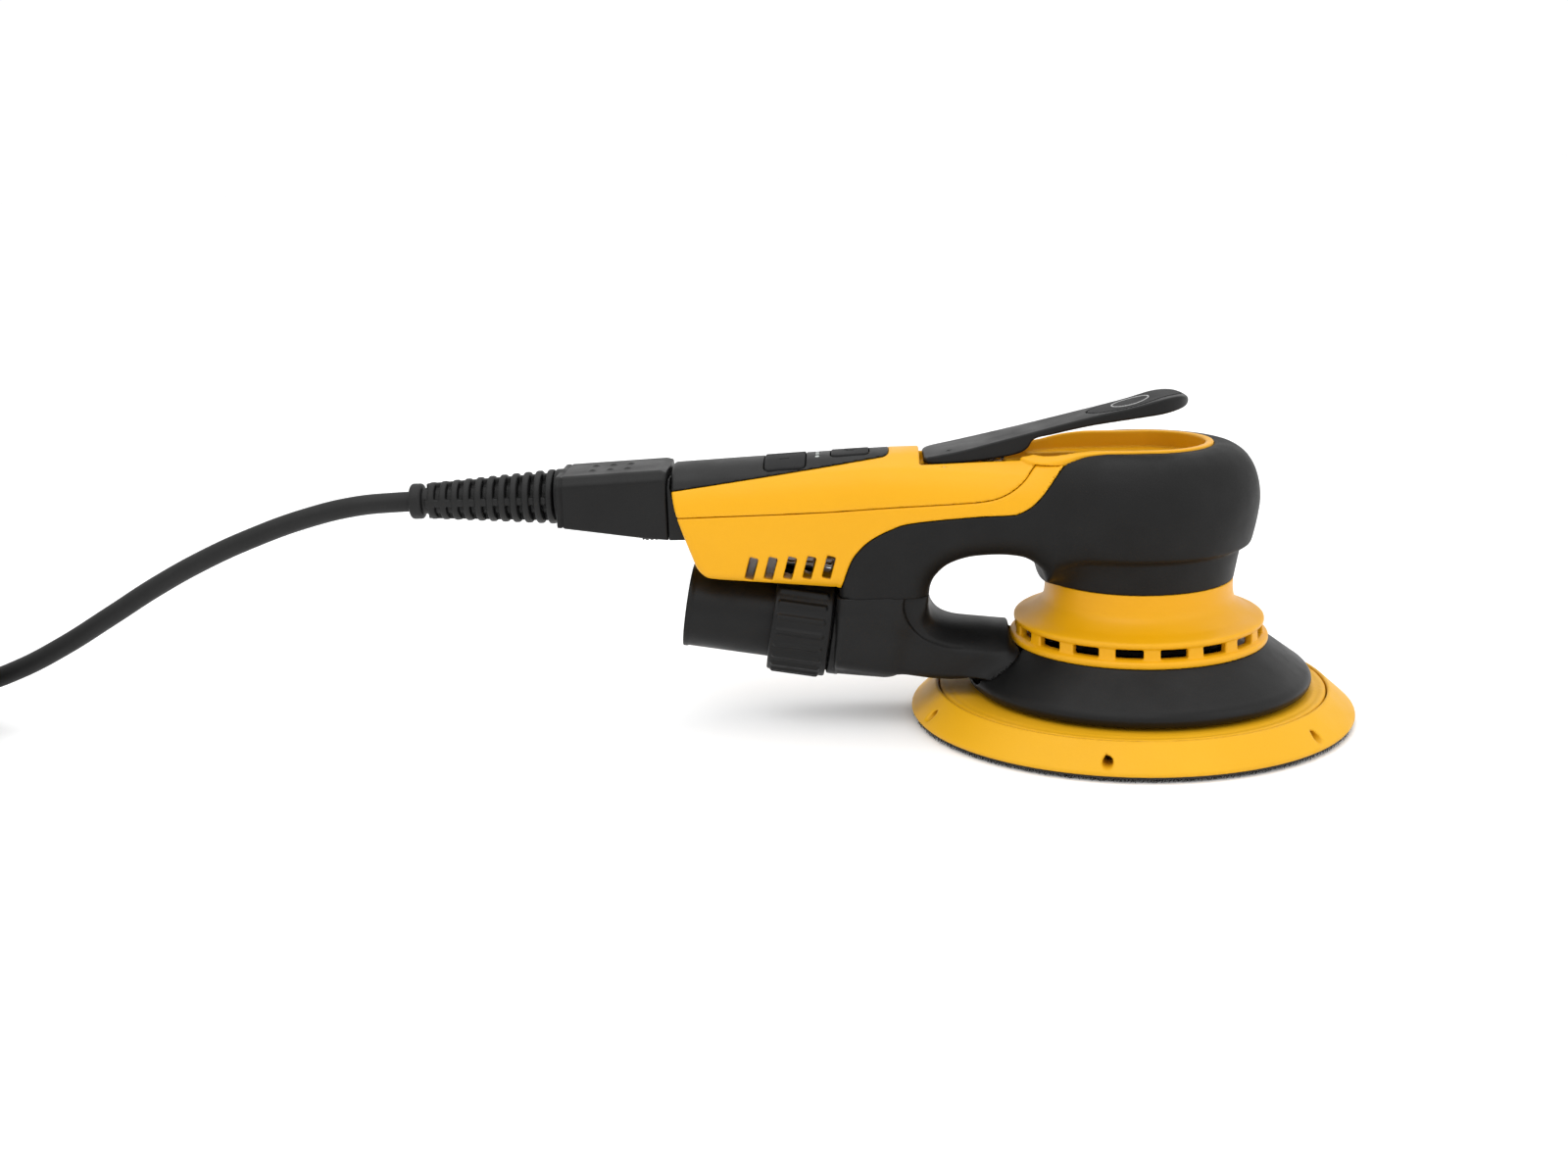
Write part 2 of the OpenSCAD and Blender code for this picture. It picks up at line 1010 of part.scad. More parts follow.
// Flat duct bar in the outlet's frame, inset by t, from z0 to z1.
module duct_bar(t, z0, z1) {
    translate([0, 0, z0])
        linear_extrude(height = z1 - z0) {
            translate([-10 + t, -12 + t])
                square([20 - 2 * t, 24 - 2 * t]);
            translate([-5 + t, -17 + t])
                square([10 - 2 * t, 34 - 2 * t]);
            for (x = [-5 + t, 5 - t], y = [-12 + t, 12 - t])
                translate([x, y])
                    circle(r = 5, $fn = 48);
        }
}

module dust_duct() {
    color(black)
        difference() {
            union() {
                intersection() {
                    side([
                        [-101.4, 46], [-101.4, 16], [-80, 12], [-56, 20], [-62, 33.2], [-66, 36], [-70, 40], [-71.5, 46]
                    ]);
                    at_outlet()
                        translate([0, 0, 3])
                            linear_extrude(height = 50)
                                union() {
                                    circle(r = 17.5, $fn = 96);
                                    translate([-40, -17.5])
                                        square([40, 35]);
                                }
                }
                at_outlet() {
                    duct_bar(0, 20, 62);
                    translate([0, 0, -9])
                        cylinder(r = 16, h = 13, $fn = 96);
                    translate([0, 0, 2.6])
                        cylinder(r = 17, h = 4, $fn = 96);
                }
            }
            at_outlet() {
                translate([0, 0, -10])
                    cylinder(r = nozzle_r + 0.35, h = 18, $fn = 96);
                translate([0, 0, 7])
                    cylinder(r = nozzle_bore_r, h = 20, $fn = 96);
                duct_bar(2.2, 18, 70);
            }
            post(42.6, 10, 30);
            shroud_swept();
            pair(-92, 10)
                post(1.4, 38.6, 50);
        }
}

// The space above and inside the shroud, which the duct stops short of.
module shroud_swept() {
    rotate_extrude($fn = 128)
        polygon([[0, 10], [55.1, 10], [55.1, 14.8], [52.6, 17.2], [41.4, 24.1], [41.4, 30], [0, 30]]);
    rotate_extrude($fn = 128)
        polygon([[40, 27], [43.8, 27], [43.8, 40], [40, 40]]);
}

module dust_outlet() {
    color(black)
        difference() {
            at_outlet()
                union() {
                    translate([0, 0, -47.5])
                        cylinder(r = nozzle_r, h = 52.5, $fn = 96);
                    translate([0, 0, -47.5])
                        cylinder(r = nozzle_r + 0.3, h = 1.6, $fn = 96);
                    translate([0, 0, -12.6])
                        cylinder(r = 15.8, h = 3, $fn = 96);
                    for (d = [0, 4.8])
                        translate([13, 3, -33.6 + d])
                            rotate([0, 90, 0])
                                cylinder(r = 1, h = 1.6, $fn = 24);
                }
            at_outlet()
                translate([0, 0, -50])
                    cylinder(r = nozzle_bore_r, h = 60, $fn = 96);
            at_outlet()
                difference() {
                    translate([0, 0, -4])
                        cylinder(r = 15, h = 2, $fn = 96);
                    translate([0, 0, -5])
                        cylinder(r = 13.2, h = 4, $fn = 96);
                }
        }
}

module outlet_seal() {
    color([0.05, 0.05, 0.05])
        at_outlet()
            difference() {
                translate([0, 0, -3.9])
                    cylinder(r = 14.3, h = 1.8, $fn = 96);
                translate([0, 0, -5])
                    cylinder(r = 13.2, h = 4, $fn = 96);
            }
}

module outlet_nut() {
    color([0.12, 0.12, 0.13])
        at_outlet()
            difference() {
                union() {
                    translate([0, 0, -18])
                        cylinder(r = 18.2, h = 20, $fn = 96);
                    for (k = [0 : 23])
                        rotate([0, 0, 15 * k])
                            translate([18, 0, -17])
                                cylinder(r = 1, h = 17, $fn = 16);
                }
                translate([0, 0, -19])
                    cylinder(r = nozzle_r + 0.4, h = 24, $fn = 96);
                translate([0, 0, -13])
                    cylinder(r = 16.3, h = 20, $fn = 96);
            }
}

// ---------- mains lead ----------

module cord_connector() {
    color(black)
        difference() {
            union() {
                intersection() {
                    side([
                        [-195.5, 71.6], [-166.5, 67.4], [-158, 66.6], [-158, 89.4], [-160.4, 90.2], [-195.5, 88.6]
                    ]);
                    translate([-196, 0, 0])
                        along_x(38) {
                            translate([-15.5, 60])
                                square([31, 26]);
                            translate([-12.5, 60])
                                square([25, 31]);
                            for (s = [-1, 1])
                                translate([s * 12.5, 86.4])
                                    circle(r = 3, $fn = 32);
                        }
                }
                translate([-197.4, 0, 80])
                    rotate([0, 90, 0])
                        cylinder(r = 9, h = 3, $fn = 48);
                translate([-158.4, 0, 77])
                    along_x(8)
                        difference() {
                            square([19.4, 9.4], center = true);
                            for (y = [-5, 5])
                                translate([y, 0])
                                    circle(r = 1.7, $fn = 24);
                        }
                for (x = [-184, -178, -172], y = [-4.4, 4.4])
                    translate([x, y, 88.2 + (x + 184) * 0.045])
                        cylinder(r = 1.4, h = 1.4, $fn = 24);
            }
            block([-168.4, -7, 60], [-159.8, 7, 70]);
            translate([-200, 0, 79.6])
                rotate([0, 90, 0])
                    cylinder(r = cord_r, h = 8, $fn = 48);
        }
}

module connector_latch() {
    color([0.14, 0.14, 0.15])
        side([[-168, 65.8], [-166, 64.9], [-161.6, 64.9], [-160.2, 65.8], [-160.2, 68.6], [-168, 68.6]], 13.4);
}

module strain_relief() {
    color(black)
        difference() {
            union() {
                translate([-248, 0, 79])
                    rotate([0, 90, 0])
                        cylinder(r1 = 4.6, r2 = 6.4, h = 50.6, $fn = 48);
                translate([-248, 0, 79])
                    rotate([0, 90, 0])
                        cylinder(r = 6, h = 4.4, $fn = 48);
                for (k = [0 : 10])
                    translate([-241 + 4.1 * k, 0, 79 + 0.06 * k])
                        rotate([0, 90, 0])
                            cylinder(r = 6.2 + 0.3 * k, h = 2.2, $fn = 48);
            }
            translate([-252, 0, 79])
                rotate([0, 90, 0])
                    cylinder(r = 3.1, h = 50, $fn = 48);
        }
}

module cord() {
    color(black)
        tube(smooth(cord_route, 3), cord_r, 10);
}

module cord_coil() {
    color(black)
        translate(coil_at)
            rotate_extrude($fn = 128)
                translate([coil_r, 0])
                    circle(r = bundle_r, $fn = 48);
}

module coil_tie() {
    color(grey)
        translate(coil_at)
            rotate([0, 0, 150])
                translate([coil_r, 0, 0])
                    rotate([90, 0, 0])
                        difference() {
                            cylinder(r = bundle_r - 0.1, h = 9, center = true, $fn = 64);
                            cylinder(r = bundle_r - 1.6, h = 12, center = true, $fn = 64);
                        }
}

// The plug's frame: on top of the coil, X towards the pins.
module at_plug() {
    translate([coil_at[0], coil_at[1], 2 * bundle_r])
        rotate([0, 0, 118])
            children();
}

module plug_lead() {
    color(black)
        at_plug()
            tube(smooth(lead_out, 2), cord_r, 10);
}

module mains_plug() {
    color(black)
        at_plug()
            translate([2, plug_y, 0])
                difference() {
                    union() {
                        intersection() {
                            translate([12, -18.5, 0.1])
                                cube([30, 37, 19]);
                            translate([12, 0, 9.6])
                                rotate([0, 90, 0])
                                    cylinder(r1 = 14, r2 = 22, h = 30, $fn = 64);
                        }
                        translate([-14, 0, 9.6])
                            rotate([0, 90, 0])
                                cylinder(r1 = 5, r2 = 8, h = 28, $fn = 48);
                    }
                    translate([-15, 0, 9.6])
                        rotate([0, 90, 0])
                            cylinder(r = 3, h = 20, $fn = 48);
                }
}

module plug_pins() {
    color(steel)
        at_plug()
            for (y = [-9.5, 9.5])
                translate([44, plug_y + y, 9.6])
                    rotate([0, 90, 0])
                        cylinder(r = 2.4, h = 18, $fn = 24);
}

// ---------- draw ----------

hook_face();
pad_foam();
pad_plate();
pad_spindle();
rotor_shaft();
rotor_core();
rotor_magnets();
cooling_fan();
counterweight();
pad_bearing();
stator_core();
stator_windings();
motor_flange();
upper_bearing();
lower_bearing();
upper_bearing_seat();
vent_ring();
fan_plate();
dust_shroud();
brake_seal();
shroud_screws();
palm_grip();
grip_arm();
main_housing();
top_cover();
control_panel();
cover_screws();
duct_screws();
lever();
lever_insert();
lever_magnet();
lever_pin();
lever_spring();
power_button();
speed_up_button();
speed_down_button();
status_leds();
switch_board();
controller_board();
capacitors();
heat_sink();
lever_sensor();
inlet_socket();
inlet_pins();
dust_duct();
dust_outlet();
outlet_nut();
outlet_seal();
cord_connector();
connector_latch();
strain_relief();
cord();
cord_coil();
coil_tie();
plug_lead();
mains_plug();
plug_pins();
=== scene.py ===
import bpy
import math
import numpy as np
from mathutils import Matrix, Vector


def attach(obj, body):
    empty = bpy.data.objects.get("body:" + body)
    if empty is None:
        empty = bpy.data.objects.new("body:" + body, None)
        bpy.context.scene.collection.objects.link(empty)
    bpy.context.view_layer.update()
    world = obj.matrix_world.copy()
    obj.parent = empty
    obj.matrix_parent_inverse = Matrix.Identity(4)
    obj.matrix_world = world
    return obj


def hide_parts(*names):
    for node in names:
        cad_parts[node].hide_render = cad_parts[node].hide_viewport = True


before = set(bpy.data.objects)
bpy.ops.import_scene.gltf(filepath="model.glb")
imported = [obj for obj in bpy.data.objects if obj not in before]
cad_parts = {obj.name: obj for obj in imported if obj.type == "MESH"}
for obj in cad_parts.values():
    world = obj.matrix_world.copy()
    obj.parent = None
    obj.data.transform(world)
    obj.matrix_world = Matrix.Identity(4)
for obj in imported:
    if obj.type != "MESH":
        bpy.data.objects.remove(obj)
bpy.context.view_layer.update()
MM = 0.001

# ------------------------------------------------------------------ camera

cam_data = bpy.data.cameras.new("camera")
cam_data.lens = 41.78
cam_data.sensor_width = 36
cam_data.sensor_fit = "HORIZONTAL"
cam_data.clip_start = 0.01
cam = bpy.data.objects.new("camera", cam_data)
bpy.context.scene.collection.objects.link(cam)
right = Vector((0.9985, 0.0445, -0.0315))
up = Vector((0.0198, 0.2432, 0.9698))
back = Vector((0.0508, -0.969, 0.2419))
turn = Matrix((right, up, back)).transposed().to_4x4()
cam.matrix_world = Matrix.Translation((-0.0890, -0.6071, 0.1973)) @ turn
bpy.context.scene.camera = cam

# ------------------------------------------------------------------ materials


def srgb(r, g, b):
    """Linear colour from 0-255 values."""
    out = []
    for v in (r, g, b):
        v = v / 255
        out.append(v / 12.92 if v <= 0.04045 else ((v + 0.055) / 1.055) ** 2.4)
    return (*out, 1)


class Nodes:
    """Small helper around one material's node tree."""

    def __init__(self, name):
        self.mat = bpy.data.materials.new(name)
        self.mat.use_nodes = True
        self.tree = self.mat.node_tree
        self.bsdf = self.tree.nodes["Principled BSDF"]
        self.place = self.add("ShaderNodeTexCoord").outputs["Object"]

    def add(self, kind, **sets):
        node = self.tree.nodes.new(kind)
        for key, value in sets.items():
            setattr(node, key, value)
        return node

    def link(self, a, b):
        self.tree.links.new(a, b)

    def noise(self, scale, detail=3, stretch=(1, 1, 1)):
        mapping = self.add("ShaderNodeMapping")
        mapping.inputs["Scale"].default_value = stretch
        self.link(self.place, mapping.inputs["Vector"])
        n = self.add("ShaderNodeTexNoise")
        n.inputs["Scale"].default_value = scale
        n.inputs["Detail"].default_value = detail
        self.link(mapping.outputs[0], n.inputs["Vector"])
        return n.outputs["Fac"]

    def cells(self, scale):
        v = self.add("ShaderNodeTexVoronoi")
        v.inputs["Scale"].default_value = scale
        self.link(self.place, v.inputs["Vector"])
        return v.outputs["Distance"]

    def ramp(self, fac, lo, hi, a=0.3, b=0.7):
        r = self.add("ShaderNodeValToRGB")
        r.color_ramp.elements[0].position = a
        r.color_ramp.elements[1].position = b
        r.color_ramp.elements[0].color = lo
        r.color_ramp.elements[1].color = hi
        self.link(fac, r.inputs[0])
        return r.outputs[0]

    def span(self, fac, lo, hi, a=0.3, b=0.7):
        m = self.add("ShaderNodeMapRange")
        m.inputs["From Min"].default_value = a
        m.inputs["From Max"].default_value = b
        m.inputs["To Min"].default_value = lo
        m.inputs["To Max"].default_value = hi
        self.link(fac, m.inputs["Value"])
        return m.outputs[0]

    def mix(self, fac, a, b, blend="MIX"):
        m = self.add("ShaderNodeMix", data_type="RGBA", blend_type=blend)
        if isinstance(fac, (int, float)):
            m.inputs[0].default_value = fac
        else:
            self.link(fac, m.inputs[0])
        for value, socket in ((a, m.inputs[6]), (b, m.inputs[7])):
            if isinstance(value, tuple):
                socket.default_value = value
            else:
                self.link(value, socket)
        return m.outputs[2]

    def bump(self, height, strength, distance, below=None):
        b = self.add("ShaderNodeBump")
        b.inputs["Strength"].default_value = strength
        b.inputs["Distance"].default_value = distance
        self.link(height, b.inputs["Height"])
        if below is not None:
            self.link(below, b.inputs["Normal"])
        return b.outputs[0]

    def edges(self, a=0.52, b=0.62):
        g = self.add("ShaderNodeNewGeometry")
        return self.span(g.outputs["Pointiness"], 0, 1, a, b)

    def set(self, **sockets):
        for key, value in sockets.items():
            socket = self.bsdf.inputs[key.replace("_", " ")]
            if isinstance(value, (int, float, tuple)):
                socket.default_value = value
            else:
                self.link(value, socket)
        return self.mat


def moulded(name, dark, light, worn, rough, grain, depth, coat=0.0, wear=0.35, gloss=0.5):
    """Injection-moulded plastic or rubber: fine spark grain, cloudy tone, rubbed edges."""
    n = Nodes(name)
    cloud = n.ramp(n.noise(26, 4), dark, light, 0.15, 0.85)
    rub = n.edges()
    scuff = n.span(n.noise(420, 5), 0, wear, 0.5, 0.75)
    spread = n.add("ShaderNodeMath", operation="MULTIPLY")
    n.link(rub, spread.inputs[0])
    n.link(scuff, spread.inputs[1])
    colour = n.mix(spread.outputs[0], cloud, worn)
    fine = n.cells(grain)
    soft = n.bump(n.noise(160, 2), 0.10, 0.0004)
    normal = n.bump(fine, 0.5, depth, soft)
    n.set(Base_Color=colour, Roughness=n.span(n.noise(90, 5), rough - 0.06, rough + 0.07), Normal=normal)
    n.set(Coat_Weight=coat, Coat_Roughness=0.35, Specular_IOR_Level=gloss)
    return n.mat


def metal(name, dark, light, rough, stretch, scale=900):
    """Bare metal with fine streaks along one direction."""
    n = Nodes(name)
    streak = n.noise(scale, 3, stretch)
    n.set(Base_Color=n.ramp(streak, dark, light), Metallic=1.0,
          Roughness=n.span(n.noise(300, 4), rough - 0.08, rough + 0.1),
          Normal=n.bump(streak, 0.15, 0.00005))
    return n.mat


MAT = {}
MAT["yellow_plastic"] = moulded("yellow_plastic", srgb(214, 153, 2), srgb(220, 159, 3), srgb(236, 188, 80),
                                0.42, 2600, 0.00004, coat=0.04, wear=0.25, gloss=0.25)
MAT["pad_yellow"] = moulded("pad_yellow", srgb(211, 155, 16), srgb(217, 162, 22), srgb(234, 188, 90),
                            0.5, 1500, 0.00007, wear=0.25, gloss=0.25)
MAT["soft_black"] = moulded("soft_black", srgb(14, 14, 14), srgb(18, 18, 18), srgb(46, 46, 47),
                            0.56, 2200, 0.00006, wear=0.4, gloss=0.2)
MAT["black_plastic"] = moulded("black_plastic", srgb(12, 12, 12), srgb(17, 17, 17), srgb(46, 46, 47),
                               0.44, 1800, 0.00005, wear=0.4, gloss=0.22)
MAT["key_rubber"] = moulded("key_rubber", srgb(14, 14, 15), srgb(18, 18, 19), srgb(44, 44, 45),
                            0.6, 2600, 0.00004, wear=0.3, gloss=0.22)
MAT["black_rubber"] = moulded("black_rubber", srgb(12, 12, 12), srgb(18, 18, 18), srgb(44, 44, 44),
                              0.55, 1500, 0.00006, wear=0.4, gloss=0.3)
# Light grey for the raised oval ring on the lever's insert.
MAT["oval_grey"] = moulded("oval_grey", srgb(150, 150, 150), srgb(176, 176, 176), srgb(190, 190, 190),
                            0.6, 2600, 0.00001, wear=0.1)
MAT["hook_pile"] = moulded("hook_pile", srgb(22, 21, 20), srgb(46, 44, 42), srgb(80, 76, 70),
                           0.6, 1400, 0.0001, gloss=0.4)
MAT["steel"] = metal("steel", srgb(150, 152, 156), srgb(205, 207, 210), 0.3, (1, 1, 8))
MAT["laminated_steel"] = metal("laminated_steel", srgb(95, 97, 102), srgb(150, 152, 156), 0.42, (0.1, 0.1, 4))
MAT["magnet"] = metal("magnet", srgb(110, 110, 118), srgb(140, 140, 148), 0.3, (1, 1, 1), 300)
MAT["copper"] = metal("copper", srgb(165, 84, 44), srgb(208, 120, 70), 0.32, (1, 1, 10), 1500)
MAT["aluminium"] = metal("aluminium", srgb(168, 170, 174), srgb(205, 207, 210), 0.38, (6, 1, 1))
MAT["led_lens"] = moulded("led_lens", srgb(150, 156, 152), srgb(176, 182, 178), srgb(215, 220, 216),
                          0.3, 2600, 0.00002, coat=0.5)
MAT["capacitor_sleeve"] = moulded("capacitor_sleeve", srgb(34, 44, 84), srgb(44, 56, 100),
                                  srgb(120, 130, 160), 0.35, 2600, 0.00002, coat=0.3)
MAT["tie"] = moulded("tie", srgb(30, 30, 31), srgb(42, 42, 43), srgb(90, 90, 92), 0.55, 2400, 0.00006)


def board_material():
    """Green circuit board with faint traces."""
    n = Nodes("circuit_board")
    traces = n.cells(420)
    n.set(Base_Color=n.ramp(traces, srgb(20, 84, 46), srgb(34, 116, 66), 0.2, 0.5), Roughness=0.4,
          Normal=n.bump(traces, 0.4, 0.00005), Coat_Weight=0.4)
    return n.mat


MAT["circuit_board"] = board_material()

# ------------------------------------------------------------------ shape kernel (millimetres)


def rmax(a, b, r):
    """Intersection of two solids with a rounded edge of radius r."""
    return np.minimum(np.maximum(a, b), -r) + np.hypot(np.maximum(a + r, 0), np.maximum(b + r, 0))


def rmin(a, b, r):
    """Union of two solids with a fillet of radius r."""
    return -rmax(-a, -b, r)


def smin(a, b, k):
    """Union with a soft blend of reach k."""
    h = np.maximum(k - np.abs(a - b), 0) / k
    return np.minimum(a, b) - h * h * k * 0.25


def cut(a, b, r=0.3):
    """a without b, with the new edge rounded by r."""
    return rmax(a, -b, r)


def box(x, y, z, lo, hi, r=0.0):
    """Box between two corners, with edges rounded by r."""
    d = []
    for v, a, b in zip((x, y, z), lo, hi):
        d.append(np.abs(v - (a + b) / 2) - ((b - a) / 2 - r))
    out = np.sqrt(sum(np.maximum(v, 0) ** 2 for v in d))
    return out + np.minimum(np.maximum(np.maximum(d[0], d[1]), d[2]), 0) - r


def rod(a, b, h, radius, z0, z1, r=0.0):
    """Cylinder about the h axis, a and b being the other two coordinates."""
    u = np.hypot(a, b) - radius + r
    v = np.abs(h - (z0 + z1) / 2) - (z1 - z0) / 2 + r
    return np.hypot(np.maximum(u, 0), np.maximum(v, 0)) + np.minimum(np.maximum(u, v), 0) - r


def slab(v, a, b):
    """Layer between a and b."""
    return np.abs(v - (a + b) / 2) - (b - a) / 2


def bar(x, y, x0, x1, w):
    """Round-ended bar in plan."""
    cx = np.clip(x, x0 + w, x1 - w)
    return np.hypot(x - cx, y) - w


def curve(points, m=8):
    """Smooth line through the points."""
    p = np.array(points, float)
    q = np.vstack([2 * p[0] - p[1], p, 2 * p[-1] - p[-2]])
    out = []
    for i in range(1, len(q) - 2):
        a, b, c, d = q[i - 1], q[i], q[i + 1], q[i + 2]
        for k in range(m):
            t = k / m
            out.append(0.5 * (2 * b + (c - a) * t + (2 * a - 5 * b + 4 * c - d) * t * t
                              + (3 * b - a - 3 * c + d) * t ** 3))
    out.append(p[-1])
    return [tuple(v) for v in out]


def sector(a, b, count, start=0.0):
    """(a, b) turned into the middle of count equal sectors, the first one at start degrees."""
    step = 2 * math.pi / count
    angle = np.arctan2(b, a) - math.radians(start)
    angle = angle - np.round(angle / step) * step
    r = np.hypot(a, b)
    return r * np.cos(angle), r * np.sin(angle)


class Outline:
    """Signed distance to a closed outline, read from a grid worked out once."""

    def __init__(self, points, step=0.5, pad=14):
        p = np.array(points, float)
        self.lo = p.min(0) - pad
        size = np.ceil((p.max(0) + pad - self.lo) / step).astype(int) + 1
        self.step, self.size = step, size
        u = self.lo[0] + np.arange(size[0]) * step
        v = self.lo[1] + np.arange(size[1]) * step
        gu, gv = np.meshgrid(u, v, indexing="ij")
        best = np.full(gu.shape, 1e9)
        inside = np.zeros(gu.shape, bool)
        for a, b in zip(p, np.roll(p, -1, 0)):
            e = b - a
            n = e @ e
            if n < 1e-12:
                continue
            t = np.clip(((gu - a[0]) * e[0] + (gv - a[1]) * e[1]) / n, 0, 1)
            best = np.minimum(best, (gu - a[0] - t * e[0]) ** 2 + (gv - a[1] - t * e[1]) ** 2)
            if a[1] != b[1]:
                hit = (a[1] > gv) != (b[1] > gv)
                inside ^= hit & (gu < a[0] + (gv - a[1]) / (b[1] - a[1]) * e[0])
        self.table = (np.sqrt(best) * np.where(inside, -1, 1)).astype(np.float32)

    def __call__(self, u, v):
        fu = np.clip((u - self.lo[0]) / self.step, 0, self.size[0] - 1.001)
        fv = np.clip((v - self.lo[1]) / self.step, 0, self.size[1] - 1.001)
        i, j = fu.astype(np.int32), fv.astype(np.int32)
        s, t = fu - i, fv - j
        k = i * self.size[1] + j
        flat = self.table.ravel()
        w = self.size[1]
        return ((flat[k] * (1 - s) + flat[k + w] * s) * (1 - t)
                + (flat[k + 1] * (1 - s) + flat[k + w + 1] * s) * t)


def net(f, lo, hi, h, steps=2):
    """Surface of f < 0 inside a box, as points and quads, from a coarse then a fine grid."""
    lo = np.array(lo, float) - 1.5 * h
    nb = np.ceil((np.array(hi, float) + 1.5 * h - lo) / (4 * h)).astype(int)
    mid = [lo[i] + (np.arange(nb[i]) + 0.5) * 4 * h for i in range(3)]
    near = np.abs(f(*np.meshgrid(*mid, indexing="ij"))) < 5.0 * h
    n = 4 * nb + 1
    cell = near.repeat(4, 0).repeat(4, 1).repeat(4, 2)
    mask = np.zeros(n, bool)
    mask[:-1, :-1, :-1] = cell
    mask[1:] |= mask[:-1].copy()
    mask[:, 1:] |= mask[:, :-1].copy()
    mask[:, :, 1:] |= mask[:, :, :-1].copy()
    at = np.flatnonzero(mask)
    i, j, k = np.unravel_index(at, n)
    field = np.full(n, 9.0, np.float32)
    flat = field.ravel()
    for s in range(0, len(at), 1500000):
        e = slice(s, s + 1500000)
        flat[at[e]] = f(lo[0] + i[e] * h, lo[1] + j[e] * h, lo[2] + k[e] * h)
    del mask, at, i, j, k
    where = np.argwhere(cell)
    a = where[:, 0] * (n[1] * n[2]) + where[:, 1] * n[2] + where[:, 2]
    jump = (n[1] * n[2], n[2], 1)
    corner = [(p, q, r) for p in (0, 1) for q in (0, 1) for r in (0, 1)]
    inside = sum((flat[a + p * jump[0] + q * jump[1] + r * jump[2]] < 0).astype(np.int8)
                 for p, q, r in corner)
    keep = (inside > 0) & (inside < 8)
    where, a = where[keep], a[keep]
    total = np.zeros((len(a), 3))
    count = np.zeros(len(a))
    for p, q, r in corner:
        for d in range(3):
            if (p, q, r)[d]:
                continue
            va = flat[a + p * jump[0] + q * jump[1] + r * jump[2]]
            vb = flat[a + p * jump[0] + q * jump[1] + r * jump[2] + jump[d]]
            hit = (va < 0) != (vb < 0)
            t = np.where(hit, va / np.where(hit, va - vb, 1), 0)
            for c in range(3):
                total[:, c] += hit * ((p, q, r)[c] + (t if c == d else 0))
            count += hit
    pts = lo + (where + total / count[:, None]) * h
    ids = np.full(n, -1, np.int32)
    idf = ids.ravel()
    idf[a] = np.arange(len(a))
    quads = []
    for d, u, v in ((0, 1, 2), (1, 2, 0), (2, 0, 1)):
        v0, v1 = flat[a], flat[a + jump[d]]
        ok = ((v0 < 0) != (v1 < 0)) & (where[:, u] > 0) & (where[:, v] > 0)
        b, inner = a[ok], v0[ok] < 0
        q = np.stack([idf[b], idf[b - jump[u]], idf[b - jump[u] - jump[v]], idf[b - jump[v]]], 1)
        q = np.where(inner[:, None], q, q[:, ::-1])
        quads.append(q[(q >= 0).all(1)])
    quads = np.vstack(quads)
    e = 0.3 * h
    for _ in range(steps):
        g = np.stack([
            f(pts[:, 0] + e, pts[:, 1], pts[:, 2]) - f(pts[:, 0] - e, pts[:, 1], pts[:, 2]),
            f(pts[:, 0], pts[:, 1] + e, pts[:, 2]) - f(pts[:, 0], pts[:, 1] - e, pts[:, 2]),
            f(pts[:, 0], pts[:, 1], pts[:, 2] + e) - f(pts[:, 0], pts[:, 1], pts[:, 2] - e)], 1) / (2 * e)
        away = f(pts[:, 0], pts[:, 1], pts[:, 2])
        move = -g * (away / np.maximum((g * g).sum(1), 0.2))[:, None]
        size = np.sqrt((move * move).sum(1))
        pts += move * np.minimum(1, 0.4 * h / np.maximum(size, 1e-9))[:, None]
    return pts, quads


def biggest(pts, quads):
    """The part with the most points, without loose crumbs left by a cut."""
    label = np.arange(len(pts))
    while True:
        low = label[quads].min(1)
        new = label.copy()
        for k in range(4):
            np.minimum.at(new, quads[:, k], low)
        new = new[new]
        if (new == label).all():
            break
        label = new
    ids, counts = np.unique(label, return_counts=True)
    keep = label == ids[counts.argmax()]
    index = np.cumsum(keep) - 1
    return pts[keep], index[quads[keep[quads[:, 0]]]]


def mesh_object(name, pts, quads, material):
    """Blender object from points in mm and quads."""
    me = bpy.data.meshes.new(name)
    me.vertices.add(len(pts))
    me.vertices.foreach_set("co", (np.asarray(pts, np.float32) * MM).ravel())
    me.loops.add(quads.size)
    me.loops.foreach_set("vertex_index", quads.astype(np.int32).ravel())
    me.polygons.add(len(quads))
    me.polygons.foreach_set("loop_start", np.arange(0, quads.size, quads.shape[1], dtype=np.int32))
    me.update(calc_edges=True)
    me.validate()
    me.polygons.foreach_set("use_smooth", np.full(len(me.polygons), True))
    me.materials.append(MAT[material])
    ob = bpy.data.objects.new(name, me)
    bpy.context.scene.collection.objects.link(ob)
    return ob


def solid(name, f, lo, hi, h, material, body, *nodes):
    """A piece from its distance function, riding a body and replacing CAD nodes."""
    pts, quads = net(f, lo, hi, h)
    pts, quads = biggest(pts, quads)
    ob = mesh_object(name, pts, quads, material)
    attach(ob, body)
    if nodes:
        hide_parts(*nodes)
    return ob


# ------------------------------------------------------------------ mains lead

